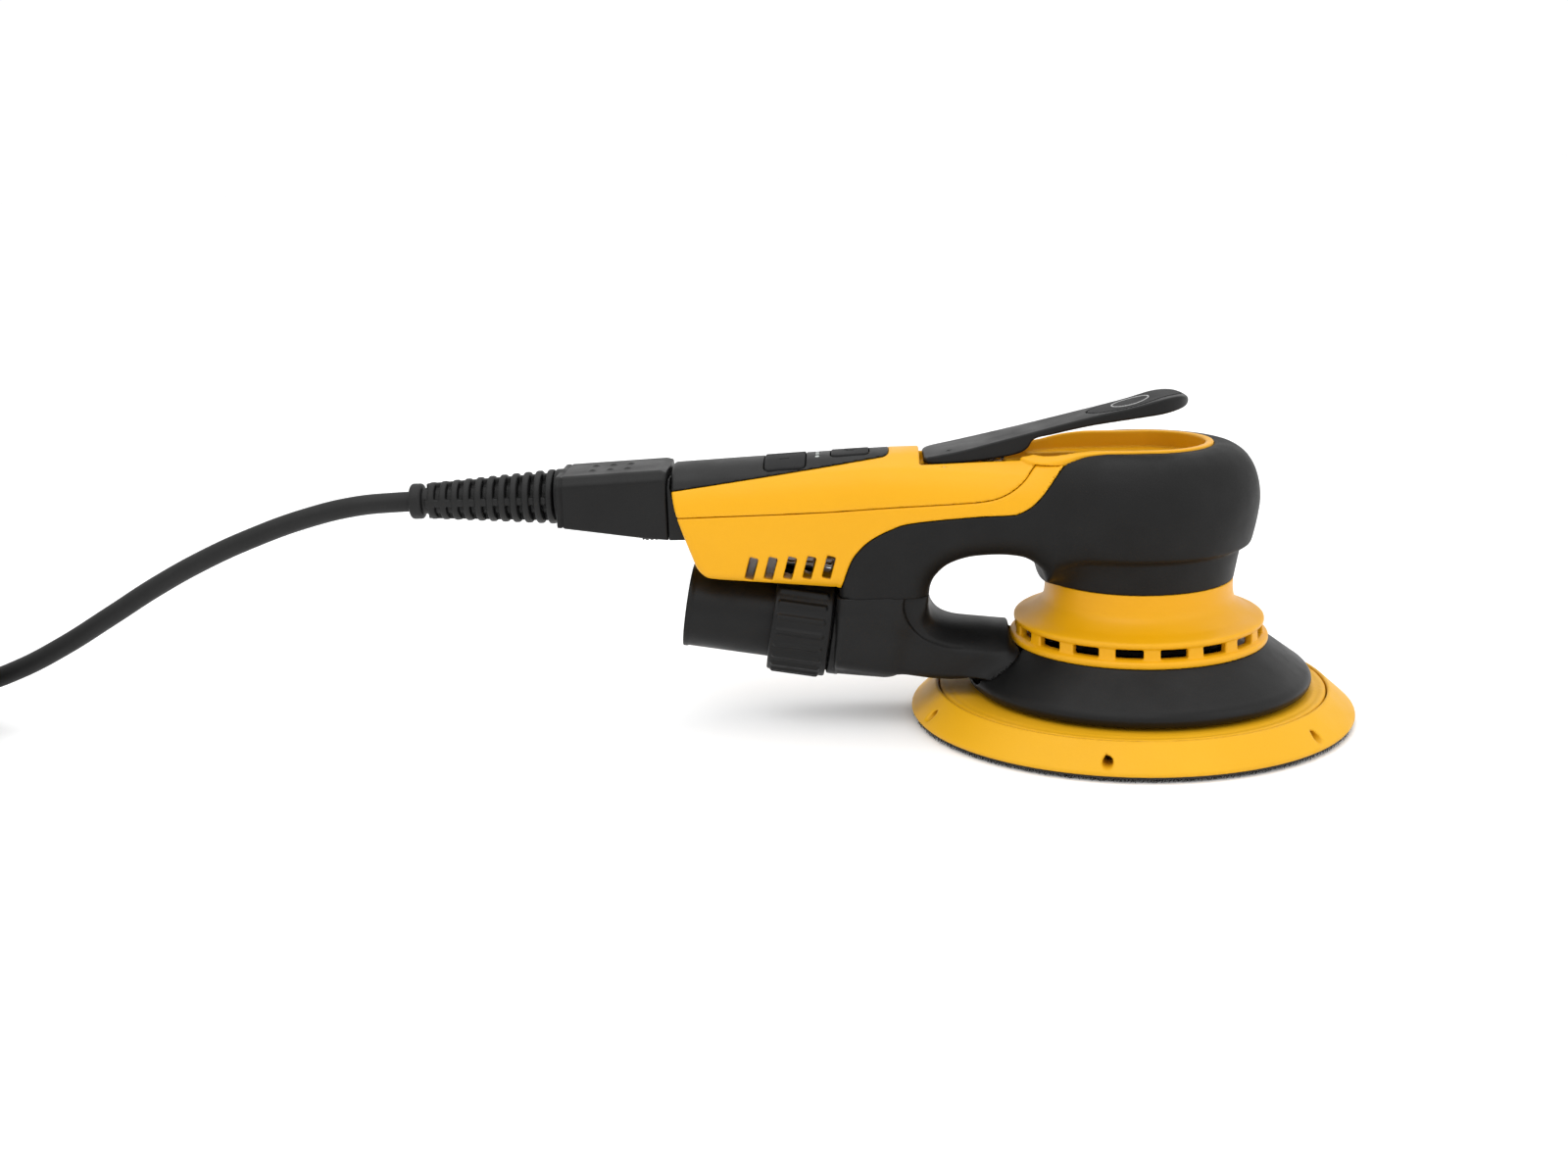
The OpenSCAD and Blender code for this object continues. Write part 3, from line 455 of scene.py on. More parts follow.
CORD_R = 3.5
COIL = (-452, -47, 16.5)
COIL_R = 42
TURN_POINTS = 15
FIRST_LANES = 4
FIRST_SHIFT, LATER_SHIFT = (185, 350), (10, 175)
LAST_TURN_END = 84
ROUTE = [
    (-240, 0, 79), (-252, 0, 78.8), (-268, 0, 77.6), (-286, 0, 73.6), (-304, 0, 67.6),
    (-321, 0, 60.6), (-340, 0, 51), (-358, 0, 40.4), (-376, 0, 30), (-394, 0, 21.4),
    (-412, 1.4, 15.6), (-432, 4.4, 13.2), (-452, 5.7, 12.9)
]
LANES = [
    (10.7, -3.6), (7.15, -10.75), (0, -10.75), (-7.15, -10.75), (-10.7, -3.6), (-3.6, -3.6), (3.6, -3.6),
    (10.7, 3.6), (3.6, 3.6), (-3.6, 3.6), (-10.7, 3.6), (-7.15, 10.75), (0, 10.75), (7.15, 10.75)
]
PLUG_TURN = 118
PLUG_LEVEL = 33
LEAD_OUT = [
    (20.7, 44.6, -5.8), (6.4, 48.7, -4.3), (-8.5, 48.4, -1), (-22.7, 43.6, 2.2), (-34.8, 34.8, 3.7),
    (-41.7, 24.3, 3.8), (-44.1, 12.1, 4.4), (-41.7, -0.1, 6), (-34.7, -10.5, 7.8), (-24.3, -17.5, 9.1),
    (-12, -20, 9.6), (-2, -20, 9.6)
]


def turned(p):
    """A point given about the coil's axis in the plug's direction, in the shared frame."""
    c, s = math.cos(math.radians(PLUG_TURN)), math.sin(math.radians(PLUG_TURN))
    return (COIL[0] + c * p[0] - s * p[1], COIL[1] + s * p[0] + c * p[1], PLUG_LEVEL + p[2])


def lead_points():
    """Lead from the strain relief into the coil, lane by lane, and out to the plug.

    Each turn moves to the next lane between two angles, the shift; the first lanes shift later.
    """
    out = list(ROUTE)
    for k, lane in enumerate(LANES):
        final = k == len(LANES) - 1
        early, late = FIRST_SHIFT if k < FIRST_LANES else LATER_SHIFT
        for i in range(1 if k == 0 else 0, TURN_POINTS):
            rel = 360 * i / TURN_POINTS
            if final and rel > LAST_TURN_END:
                break
            t = 0 if final else min(max((rel - early) / (late - early), 0), 1)
            t = (1 - math.cos(math.pi * t)) / 2
            nxt = lane if final else LANES[k + 1]
            off = [p + (q - p) * t for p, q in zip(lane, nxt)]
            a = math.radians(90 + rel)
            r = COIL_R + off[0]
            out.append((COIL[0] + r * math.cos(a), COIL[1] + r * math.sin(a), COIL[2] + off[1]))
    return out + [turned(p) for p in LEAD_OUT]


def spline(name, points, radius, material, body):
    """Round cord along a smooth curve through the points."""
    cu = bpy.data.curves.new(name, "CURVE")
    cu.dimensions = "3D"
    sp = cu.splines.new("BEZIER")
    sp.bezier_points.add(len(points) - 1)
    for bp, p in zip(sp.bezier_points, points):
        bp.co = [v * MM for v in p]
        bp.handle_left_type = bp.handle_right_type = "AUTO"
    sp.resolution_u = 6
    cu.bevel_depth = radius * MM
    cu.bevel_resolution = 6
    cu.use_fill_caps = True
    cu.materials.append(MAT[material])
    ob = bpy.data.objects.new(name, cu)
    bpy.context.scene.collection.objects.link(ob)
    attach(ob, body)
    return ob


lead = spline("mains_lead", lead_points(), CORD_R, "black_rubber", "housing")
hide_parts("cord", "cord_coil", "plug_lead")

# ------------------------------------------------------------------ body of the sander

TILT = math.radians(9.3)
TOP = 94
GAP = 0.12


def outlet(x, y, z):
    """Coordinates in the outlet's own frame: down, sideways, along the axis towards the head."""
    dx, dz = x + 107, z - 33
    return -dx * math.sin(TILT) - dz * math.cos(TILT), y, dx * math.cos(TILT) - dz * math.sin(TILT)


BLACK_LINE = curve([
    (-100.8, 49.4), (-97.4, 58.4), (-94.2, 62.9), (-90.1, 66.3), (-84, 69.4), (-77.1, 71.6),
    (-57.7, 73.8), (-45, 74.6), (-41.8, 75.3), (-38.4, 77.2), (-35.6, 79.8), (-32.4, 83.8),
    (-29.6, 87.7), (-26, 92)
])
SEAM_LINE = curve([
    (-170, 74.4), (-160, 74.6), (-132, 75.1), (-106, 75.7), (-82.5, 76.9), (-61.8, 78.2), (-52, 79.2),
    (-46, 81.2), (-41, 84.6), (-37, 89), (-34, 92)
])
HEAD = Outline([(-40, 46), (31.5, 46)] + curve([(31.6, 48.5), (32.6, 54), (33.5, 58.9)], 3) + curve([
    (34, 59.5), (36.4, 60.7), (37.2, 61.9), (38.2, 66), (39, 70.4), (39.5, 75), (39.1, 80.2),
    (37.6, 85.4), (35, 89.6), (31.4, 92.4), (27, TOP)]) + [(-40, TOP)], 0.4)
UNDER = Outline([(-157.4, 150), (-157, 88)] + curve([
    (-156.6, 83.6), (-154.8, 74.7), (-150.2, 61), (-148.4, 56.8), (-145.8, 54.2), (-142, 53.3)]) + [
    (-102.4, 49.5), (-101.4, 48.6), (-101.4, 30), (-71.6, 30)] + curve([
    (-71.4, 46), (-70.9, 49.2), (-69.3, 52.4), (-65.5, 56), (-60, 58.4), (-54, 59.5), (-45.8, 59.8),
    (-38.5, 58.6), (-34.5, 55.5), (-32.5, 51)]) + [(-30, 53), (-20, 60), (-6, 60), (-6, 150)])
BLACK = Outline(BLACK_LINE + [(-24, 94), (-24, 150), (80, 150), (80, 20), (-110, 20), (-104, 49.4)])
YELLOW_LOW = Outline(SEAM_LINE + [(-34, 94), (-24, 94)] + BLACK_LINE[::-1] + [
    (-104, 49.4), (-104, 20), (-170, 20)])
ABOVE = Outline(SEAM_LINE + [(-34, 150), (-170, 150)])
SCOOP = Outline(curve([
    (-70, 51), (-76, 49.6), (-79.4, 46.5), (-80, 42), (-78, 36.4), (-73.5, 31.6), (-66, 28.6),
    (-60, 28)]) + [(-52, 30), (-52, 60)])
PANEL_SIDE = Outline([(-170, 81.6), (-84, 92.3), (-60, 95), (-60, 150), (-170, 150)])


def flank(x):
    """Half-width of the handle and arm, wider towards the head."""
    t = x + 84
    return 19 + 0.079 * (t + np.sqrt(t * t + 60))


def roof(x, y, z):
    """Flanks and rounded back of handle and arm, without their underside."""
    w = flank(x)
    top = np.interp(x, [-170, -84, -73, 60], [89.6, 93.9, 94, 94])
    rad = 25 + (w - 19) * 1.2
    rise = np.maximum(z - (top - rad), 0)
    return rmax(np.hypot(y, rise) - rad, np.abs(y) - w, 6)


def body(x, y, z):
    """Outer surface of handle, arm and head in one."""
    f = roof(x, y, z)
    f = rmax(f, UNDER(x, z), np.interp(x, [-157, -140, -104, -86, -66], [1.2, 3, 4.5, 7, 9]))
    f = smin(f, HEAD(np.hypot(x, y), z), 9)
    return rmax(f, z - TOP, 1.2)


def shell(x, y, z, wall=2.4):
    """Wall under the outer surface, and the outer surface itself."""
    f = body(x, y, z)
    return np.maximum(f, -(f + wall)), f


def oval(x, y, g=0.0):
    """Plan of the yellow rim on the head, grown by g."""
    return bar(x, y, -46 - g, 24 + g, 22.5 + g)


def rim_room(x, y, z):
    """Room for the yellow rim in the grip and the lower shell."""
    return np.maximum(oval(x, y, 0.1), 89.9 - z)


def well(x, y, z):
    """The lever's well: a stepped oval pocket and the slot behind it."""
    a = np.maximum(bar(x, y, -42, 21.4, 19.6), 88.6 - z)
    b = box(x, y, z, (-74, -13.6, 86.4), (-20, 13.6, 110), 1)
    c = box(x, y, z, (-72, -13.6, 83), (-44, 13.6, 110), 1)
    return np.minimum(rmin(a, b, 0.8), c)


def tray(x, y, z):
    """Outside of the walls round the lever's well."""
    a = np.maximum(bar(x, y, -44, 23.6, 21.8), slab(z, 86.2, TOP))
    b = box(x, y, z, (-76, -15.8, 84), (-22, 15.8, TOP), 1)
    c = box(x, y, z, (-74.2, -15.8, 80.8), (-42, 15.8, TOP), 1)
    return np.minimum(np.minimum(a, b), c)


def panel_zone(x, y, z):
    """Where the control panel takes the shells' place."""
    plan = np.where(x > -98, box(x, y, 0 * x, (-130, -11.5, -9), (-84, 11.5, 9), 6), -9)
    return rmax(PANEL_SIDE(x, z), np.maximum(plan, -9), 1.5)


def inlet_zone(x, y, z):
    """Room for the inlet socket, under the top wall."""
    room = box(x, y, z, (-170, -15.6, 66.4), (-142, 15.6, 86), 0.5)
    return np.maximum(room, roof(x, y, z) + 1.4)


def key_hole(x, y, z):
    """Openings in the panel for both keys and the five lights."""
    a = box(x, y, 0 * x, (-125.85, -11.85, -9), (-111.75, 11.85, 9), 2)
    b = box(x, y, 0 * x, (-103.65, -6.25, -9), (-90.55, 6.25, 9), 2)
    d = np.minimum(a, b)
    for k in range(-2, 3):
        d = np.minimum(d, np.hypot(x + 108, y - 2.8 * k - 0.9) - 0.74)
    return np.where(z > 78, d, 9)


def arch(x, y, z, r):
    """Round room over the dust outlet."""
    u, v, w = outlet(x, y, z)
    return rod(u, v, w, r, -19.4, 12, 0.5)


def scoop(x, y, z):
    """Shallow recess beside the finger loop, with a lip along its rear edge."""
    return rmax(SCOOP(x, z), 16.3 - np.abs(y), 0.8)


def soft_grip(x, y, z):
    """Black grip over head and arm."""
    f, _ = shell(x, y, z)
    f = rmax(f, BLACK(x, z) + GAP, 0.35)
    f = rmax(f, np.where(x > -60, 48.55, 45.95) - z, 0.05)
    f = cut(f, rim_room(x, y, z), 0.4)
    f = cut(f, tray(x, y, z) - 0.1, 0.2)
    return cut(f, arch(x, y, z, 17.8), 0.3)


def vents(x, y, z):
    """Five slots through both flanks, leaning towards the head."""
    s, c = math.sin(math.radians(16)), math.cos(math.radians(16))
    out = None
    for k in range(5):
        dx, dz = x - (-130.6 + 6.45 * k), z - 56.8
        a, b = dx * c - dz * s, dx * s + dz * c
        d = box(a, 0 * y, b, (-1.5, -1, -3.6), (1.5, 1, 4.2), 0.5)
        out = d if out is None else np.minimum(out, d)
    return out


def main_housing(x, y, z):
    """Yellow lower shell, with the hood over the dust outlet."""
    f, outer = shell(x, y, z)
    f = rmax(f, YELLOW_LOW(x, z) + GAP, 0.35)
    u, v, w = outlet(x, y, z)
    hood = rmax(rod(u, v, w, 22.4, -21.6, 2.4), rmax(outer + 1, YELLOW_LOW(x, z) + GAP, 0.3), 0.3)
    f = np.minimum(f, hood)
    f = cut(f, np.minimum(rod(u, v, w, 20.2, -19.2, 12), rod(u, v, w, 15.2, -30, 0)), 0.4)
    f = cut(f, rim_room(x, y, z), 0.3)
    f = cut(f, tray(x, y, z) - 0.1, 0.2)
    f = cut(f, inlet_zone(x, y, z), 0.3)
    f = cut(f, panel_zone(x, y, z), 0.3)
    return cut(f, vents(x, y, z), 0.35)


def top_cover(x, y, z):
    """Yellow upper shell, with the rim round the lever's well."""
    f, outer = shell(x, y, z)
    f = rmax(f, ABOVE(x, z) + GAP, 0.35)
    f = np.maximum(f, -BLACK(x, z) + GAP)
    plate = rmax(rmax(oval(x, y), z - 94.8, 0.9), 90 - z, 0.3)
    plate = rmax(plate, outer - 0.9, 0.5)
    f = np.minimum(f, plate)
    f = np.minimum(f, np.maximum(tray(x, y, z), outer + 0.3))
    f = cut(f, well(x, y, z), 0.7)
    f = cut(f, panel_zone(x, y, z) - GAP, 0.3)
    f = cut(f, inlet_zone(x, y, z), 0.3)
    return cut(f, rod(x + 66, z - 88, y, 1.6, -15.2, 15.2), 0.1)


def control_panel(x, y, z):
    """Black panel on the handle's back."""
    f, _ = shell(x, y, z, 2.2)
    f = rmax(f, panel_zone(x, y, z) + GAP, 0.4)
    f = cut(f, inlet_zone(x, y, z), 0.3)
    return cut(f, key_hole(x, y, z), 0.35)


def inlet_socket(x, y, z):
    """Black end socket that takes the connector."""
    skin = body(np.maximum(x, -146), y, z) + np.where(UNDER(x, z) > 0.2, 0.1, 2.4)
    f = rmax(box(x, y, z, (-158, -15.5, 66.5), (-142, 15.5, 87), 0.6), skin, 0.4)
    f = rmax(f, 66.6 + np.maximum(x + 151, 0) * 0.16 - z, 0.3)
    return cut(f, box(x, y, z, (-160, -10, 72), (-147, 10, 82), 0.6), 0.4)


solid("soft_grip", soft_grip, (-103, -41, 44), (41, 41, 96), 0.62, "soft_black", "housing",
      "palm_grip", "grip_arm")
solid("main_housing", main_housing, (-158, -31, 47), (-23, 31, 94.5), 0.55, "yellow_plastic", "housing",
      "main_housing")
solid("top_cover", top_cover, (-158, -31, 73), (26, 31, 96), 0.55, "yellow_plastic", "housing", "top_cover")
solid("control_panel", control_panel, (-158, -17, 80), (-82, 17, 95), 0.45, "black_plastic", "housing",
      "control_panel")
solid("inlet_socket", inlet_socket, (-159, -16.5, 65), (-141, 16.5, 90), 0.4, "black_plastic", "housing",
      "inlet_socket")


def key(lo, hi, mark):
    """Key that follows the panel's surface, with its mark sunk in."""
    def f(x, y, z):
        skin = body(x, y, z) - 0.3
        cap = rmax(skin, box(x, y, 0 * x, (*lo, -9), (*hi, 9), 1.4), 0.45)
        cap = rmax(cap, -(skin + 3.4), 0.3)
        return cut(cap, np.maximum(mark(x, y), -(skin + 0.28)), 0.08)
    return f


def power_mark(x, y):
    dx, dy = x + 97.2, y
    ring = np.abs(np.hypot(dx, dy) - 1.7) - 0.28
    ring = np.maximum(ring, 0.9 - np.hypot(dx - 1.7, dy))
    return np.minimum(ring, box(dx, dy, 0 * dx, (0.2, -0.28, -9), (2.6, 0.28, 9)))


def plus_mark(x, y):
    dx, dy = x + 119, y - 5.6
    return np.minimum(box(dx, dy, 0 * dx, (-1.6, -0.3, -9), (1.6, 0.3, 9)),
                      box(dx, dy, 0 * dx, (-0.3, -1.6, -9), (0.3, 1.6, 9)))


def minus_mark(x, y):
    return box(x + 119, y + 5.6, 0 * x, (-1.6, -0.3, -9), (1.6, 0.3, 9))


solid("power_button", key((-103.4, -6), (-90.8, 6), power_mark), (-104, -7, 86), (-90, 7, 96), 0.28,
      "key_rubber", "power_button", "power_button")
solid("speed_up_button", key((-125.6, 0.15), (-112, 11.6), plus_mark), (-126, 0, 82), (-111, 12, 95), 0.28,
      "key_rubber", "speed_up_button", "speed_up_button")
solid("speed_down_button", key((-125.6, -11.6), (-112, -0.15), minus_mark), (-126, -12, 82), (-111, 0, 95),
      0.28, "key_rubber", "speed_down_button", "speed_down_button")

# ------------------------------------------------------------------ lever

LEVER_SIDE = Outline(curve([
    (-72.9, 91.2), (-71.8, 90.1), (-60.5, 90.4), (-50.8, 91.2), (-42, 92.6), (-38.4, 94.4), (-36, 97.4),
    (-30, 98.7), (-17, 101.2), (2, 104.2), (10.4, 105.6), (14.4, 106.5), (15.6, 108), (14.2, 109.4),
    (10.6, 110.2), (5, 109.6), (-4.7, 107), (-19.5, 103.7), (-39.3, 99.1), (-59.3, 94.7), (-71, 92.4),
    (-72.9, 91.2)], 6)[:-1], 0.35)
TIP_X, TIP_R = 3.6, 12
LEVER_EDGE = [(-72.9, -9), (-71.5, -11.4)] + curve([
    (-69, -12.2), (-60, -12.6), (-44, -11.2), (-20, -9.9), (-6, -11), (TIP_X, -TIP_R)], 5)
LEVER_TIP = [(TIP_X + TIP_R * math.sin(a), -TIP_R * math.cos(a)) for a in np.linspace(0.1, 3.04, 30)]
LEVER_FAR_EDGE = curve([(TIP_X, TIP_R), (-6, 11), (-20, 9.9), (-44, 11.2), (-60, 12.6), (-69, 12.2)], 5)
LEVER_PLAN = Outline(LEVER_EDGE + LEVER_TIP + LEVER_FAR_EDGE + [(-71.5, 11.4), (-72.9, 9)])


def insert_plan(x, y, g=0.0):
    """Plan of the lever's insert, grown by g."""
    u = (x + 2.4) / (15.4 + g)
    v = y / (9.4 + g)
    return (np.sqrt(u * u + v * v + 1e-9) - 1) * (9.4 + g)


def lever_skin(x, y, z):
    """Side outline of the lever, bent down towards both flanks."""
    return LEVER_SIDE(x, z + y * y / 420)


def middle(x):
    """Height of the lever's middle layer near its tip."""
    return 102.5 + 0.183 * (x + 19.5)


def lever(x, y, z):
    skin = lever_skin(x, y, z)
    f = rmax(skin, LEVER_PLAN(x, y), 0.7)
    f = rmin(f, rod(x + 66, z - 88, y, 3.4, -11, 11, 0.4), 1)
    f = cut(f, np.maximum(insert_plan(x, y, 0.3), -(skin + 0.9)) + 99 * (z < middle(x)), 0.15)
    hollow = rmax(box(x, y, z, (-59, -8.8, 80), (-39.5, 8.8, 100), 0.5), z - 91.6 - 0.22 * (x + 59), 0.4)
    f = cut(f, hollow, 0.4)
    rim = np.maximum(np.abs(np.hypot(x + 64, y + 7.6) - 0.7) - 0.2, -(skin + 0.2))
    return cut(f, np.maximum(rim, 92 - z), 0.05)


def lever_insert(x, y, z):
    skin = lever_skin(x, y, z)
    f = rmax(rmax(skin - 0.05, insert_plan(x, y, -GAP), 0.3), -(skin + 0.85), 0.1)
    return np.where(z > middle(x), f, 9)


def oval_bead(x, y, z):
    """Raised oval ring on the insert, drawn in light grey."""
    skin = lever_skin(x, y, z)
    u, v = (x + 3.6) / 6, y / 6
    ring = np.abs(np.sqrt(u * u + v * v + 1e-9) - 1) * 6 - 0.24
    bead = rmax(rmax(ring, skin - 0.24, 0.1), -(skin + 0.1), 0.05)
    return np.where(z > middle(x), bead, 9)


solid("lever", lever, (-74, -13, 84), (17, 13, 112), 0.42, "black_plastic", "lever", "lever")
solid("lever_insert", lever_insert, (-19, -10, 98), (14, 10, 112), 0.3, "key_rubber", "lever",
      "lever_insert")
solid("oval_bead", oval_bead, (-10.5, -7, 100), (3.5, 7, 110), 0.2, "oval_grey", "lever")

# ------------------------------------------------------------------ vent ring, shroud and duct

RING = Outline([(39, 27), (43.2, 27)] + curve([(43.5, 27.5), (43.3, 28.9), (41.8, 29.7)], 3) + [
    (41.6, 33.1)] + curve([
        (42, 33.6), (41.9, 34.8), (40.8, 35.5), (37.2, 36.8), (34.4, 38.6), (32.6, 40.4), (31.8, 42.4),
        (31.5, 45)], 5) + [
    (31.5, 48.4), (29, 48.4), (29, 41.4), (30.4, 39), (32.8, 37), (36, 35), (39, 33.8)], 0.3, 6)
SHROUD = Outline([
    (33, 23), (41, 23), (41.6, 24), (52.6, 17.2), (55, 15), (55.2, 11.8), (56.8, 11.8)] + curve([
    (57.6, 12.6), (58, 14.4), (57, 16.4), (54.8, 18.1), (49.6, 22), (44.4, 25.9), (43.2, 27)], 5) + [
    (38.8, 27), (38.8, 25.2), (33, 25.2)], 0.35, 6)


def vent_ring(x, y, z):
    """Yellow ring with 18 cooling slots."""
    along, across = sector(x, y, 18, 18.5)
    slot = box(along, across, z, (36, -4.5, 29.8), (50, 4.5, 33), 0.5)
    return cut(RING(np.hypot(x, y), z), slot, 0.35)


def duct_bar(u, v, g=0.0):
    """Section of the duct along the outlet's axis, grown by g."""
    rise = np.maximum(-u + 13, 0)
    crown = np.hypot(v, rise) - (23 + g)
    f = rmax(crown, np.abs(v) - 17 - g, 0.9)
    return rmax(f, u - 10 - g, 3)


def dust_shroud(x, y, z):
    """Black skirt over the pad, open to the duct at the rear."""
    f = SHROUD(np.hypot(x, y), z)
    u, v, w = outlet(x, y, z)
    hole = np.maximum(duct_bar(u, v, 0.15), np.maximum(38 - w, x + 30))
    return cut(f, hole, 0.3)


DUCT_TOP = Outline([(-71.4, 90), (-71.4, 46)] + curve([
    (-71.3, 43), (-70, 39.4), (-67.2, 36.6), (-63, 35), (-58, 34.3), (-53.3, 33.8), (-44, 32.8)]) + [
    (0, 26), (0, -40), (-130, -40), (-130, 90)])


def dust_duct(x, y, z):
    """Duct from the shroud under the finger loop, turning into the handle and the outlet."""
    u, v, w = outlet(x, y, z)
    r = np.hypot(x, y)
    t = np.clip((z - 31) / 14, 0, 1)
    t = t * t * (3 - 2 * t)
    edge = DUCT_TOP(x, z)
    side = np.abs(y) - (17.5 + (flank(x) - 17.5) * t)
    crown = np.hypot(np.maximum(edge + 23, 0), y) - 23
    crown = crown + (rmax(side, edge, 8.3) - crown) * t
    collar = np.where(u > 0, np.hypot(u, v) - 17.5, side)
    collar = rmax(rmax(collar, 3 - w, 0.8), w - 27, 5)
    flat = rmax(rmax(side, u - 10, 3), w - 62, 1)
    f = rmax(smin(collar, flat, 5), crown, 0.8)
    f = rmax(f, -102.4 - (46 - z) * 0.06 - x, np.interp(z, [24, 44], [1.2, 4.2]))
    f = rmax(f, np.interp(x, [-104, -76, -54], [16.3, 15, 17]) - z, 2.2)
    f = rmax(f, z - 46.1, 0.05)
    f = cut(f, scoop(x, y, z), 0.8)
    skirt = rmax(SHROUD(r, z), x + 34, 3)
    f = np.where(x > -72, smin(f, skirt, 7), f)
    f = np.maximum(f, np.interp(x, [-104, -76, -58], [16.3, 15, 17.6]) - z)
    f = np.minimum(np.minimum(f, rod(u, v, w, 16, -9, 8, 0.4)), rod(u, v, w, 17, 2.6, 6.6, 0.4))
    inner = np.minimum(rod(u, v, w, 14.35, -12, 8), rod(u, v, w, 12, 6, 22))
    f = cut(f, inner, 0.4)
    f = cut(f, np.maximum(duct_bar(u, v, -2.3), 18 - w), 0.5)
    under = np.maximum(r - 54, z + 0.607 * (r - 41.4) - 23.9)
    f = cut(f, np.minimum(SHROUD(r, z) - GAP, under), 0.15)
    f = cut(f, np.maximum(r - 43.9, slab(z, 20, 50)), 0.3)
    for s in (-1, 1):
        f = cut(f, rod(x + 92, y - s * 10, z, 1.5, 38, 50), 0.2)
    return f


solid("vent_ring", vent_ring, (-44, -44, 26), (44, 44, 49), 0.5, "yellow_plastic", "housing", "vent_ring")
solid("dust_shroud", dust_shroud, (-59, -59, 11), (59, 59, 28), 0.62, "black_plastic", "housing",
      "dust_shroud")
solid("dust_duct", dust_duct, (-117, -24, 11), (-32, 24, 47), 0.55, "black_plastic", "housing", "dust_duct")


def dust_outlet(x, y, z):
    """Swivelling nozzle, 24 mm inside and 28 mm outside."""
    u, v, w = outlet(x, y, z)
    f = rod(u, v, w, 14, -47.5, 5, 0.7)
    f = rmin(f, rod(u, v, w, 14.3, -47.5, -45.9, 0.3), 0.3)
    f = rmin(f, rod(u, v, w, 15.8, -12.6, -9.6, 0.4), 0.4)
    for d in (0, 4.8):
        f = rmin(f, np.sqrt((u - 13.6) ** 2 + (v - 3) ** 2 + (w + 33.6 - d) ** 2) - 0.95, 0.4)
    f = cut(f, rod(u, v, w, 12, -60, 20), 0.5)
    groove = np.maximum(slab(w, -4, -2), 13.2 - np.hypot(u, v))
    return cut(f, groove, 0.2)


def outlet_nut(x, y, z):
    """Nut with 24 grip ribs."""
    u, v, w = outlet(x, y, z)
    along, across = sector(u, v, 24)
    body_ring = rod(u, v, w, 18.2, -18, 2, 0.8)
    rib = np.hypot(along - 17.9, across) - 1.05
    rib = rmax(rib, np.abs(w + 8.4) - 8.2, 0.7)
    f = rmin(body_ring, rib, 0.5)
    f = cut(f, rod(u, v, w, 14.4, -30, 10), 0.4)
    return cut(f, rod(u, v, w, 16.3, -13, 10), 0.3)


solid("dust_outlet", dust_outlet, (-157, -16, 16), (-99, 16, 57), 0.5, "black_plastic", "dust_outlet",
      "dust_outlet")
solid("outlet_nut", outlet_nut, (-129, -20, 12), (-101, 20, 55), 0.4, "black_plastic", "outlet_nut",
      "outlet_nut")

# ------------------------------------------------------------------ connector and strain relief

PLUG_SIDE = Outline([
    (-195.5, 71.6), (-166.5, 67.4), (-158.2, 66.6), (-158.2, 89.4), (-160.4, 90.1), (-195.5, 88.5)], 0.35, 8)
PLUG_SLOPE = 0.046


def cord_connector(x, y, z):
    """Plug-on connector with six grip domes on its sloping top."""
    f = rmax(PLUG_SIDE(x, z), np.abs(y) - 15.5, 1.1)
    chamfer = (z - (88.5 + (x + 195.5) * PLUG_SLOPE) + np.abs(y) - 15.5) * 0.7071 + 2.0
    f = rmax(f, chamfer, 0.6)
    groove = np.maximum(np.abs(x + 193.6) - 0.35, -(f + 0.35))
    f = cut(f, groove, 0.1)
    f = rmin(f, rod(y, z - 80, x, 9, -197.4, -194, 0.7), 0.6)
    for cx in (-184, -178, -172):
        for cy in (-4.4, 4.4):
            top = 87.5 + (cx + 184) * PLUG_SLOPE
            dome = np.sqrt((x - cx) ** 2 + (y - cy) ** 2 + (z - top) ** 2) - 2.0
            f = rmin(f, dome, 0.3)
    f = np.minimum(f, box(x, y, z, (-158.6, -9.7, 72.3), (-150.4, 9.7, 81.7), 0.8))
    f = cut(f, box(x, y, z, (-168.4, -7, 60), (-159.8, 7, 70), 0.4), 0.3)
    return cut(f, rod(y, z - 79.6, x, 3.5, -205, -192), 0.3)


def connector_latch(x, y, z):
    """Ribbed latch under the connector."""
    side = box(x, 0 * y, z, (-168.1, -1, 65), (-160.1, 1, 68.7), 0.6)
    f = rmax(side, np.abs(y) - 6.7, 0.6)
    ribs = np.abs(np.mod(x + 168, 1.6) - 0.8) - 0.3
    return cut(f, np.maximum(ribs, z - 65.35), 0.15)


def strain_relief(x, y, z):
    """Sleeve with eleven ribs joined by four webs, wider towards the connector."""
    t = np.clip((x + 248) / 50.6, 0, 1)
    cz = 79 + 0.6 * t
    r = np.hypot(y, z - cz)
    core = np.maximum(r - (4.3 + 1.3 * t), np.abs(x + 222.7) - 25.2)
    f = rmin(core, rod(y, z - 79, x, 6.1, -247.8, -243.4, 1.1), 0.6)
    k = np.clip(np.round((x + 239.9) / 4.1), 0, 10)
    mid = -239.9 + 4.1 * k
    rib_r = 6.3 + 0.3 * k
    rib = rmax(np.abs(x - mid) - 1.15, r - rib_r, 0.7)
    web = rmax(np.abs(z - cz) - 1.25, r - (5.7 + 2.6 * t), 0.4)
    web = np.maximum(web, np.abs(x + 220) - 22)
    post = rmax(np.abs(y) - 1.25, r - (5.7 + 2.6 * t), 0.4)
    post = np.maximum(post, np.abs(x + 220) - 22)
    f = rmin(f, rib, 0.35)
    f = rmin(f, np.minimum(web, post), 0.35)
    return cut(f, rod(y, z - 79, x, 3.45, -260, -243), 0.3)


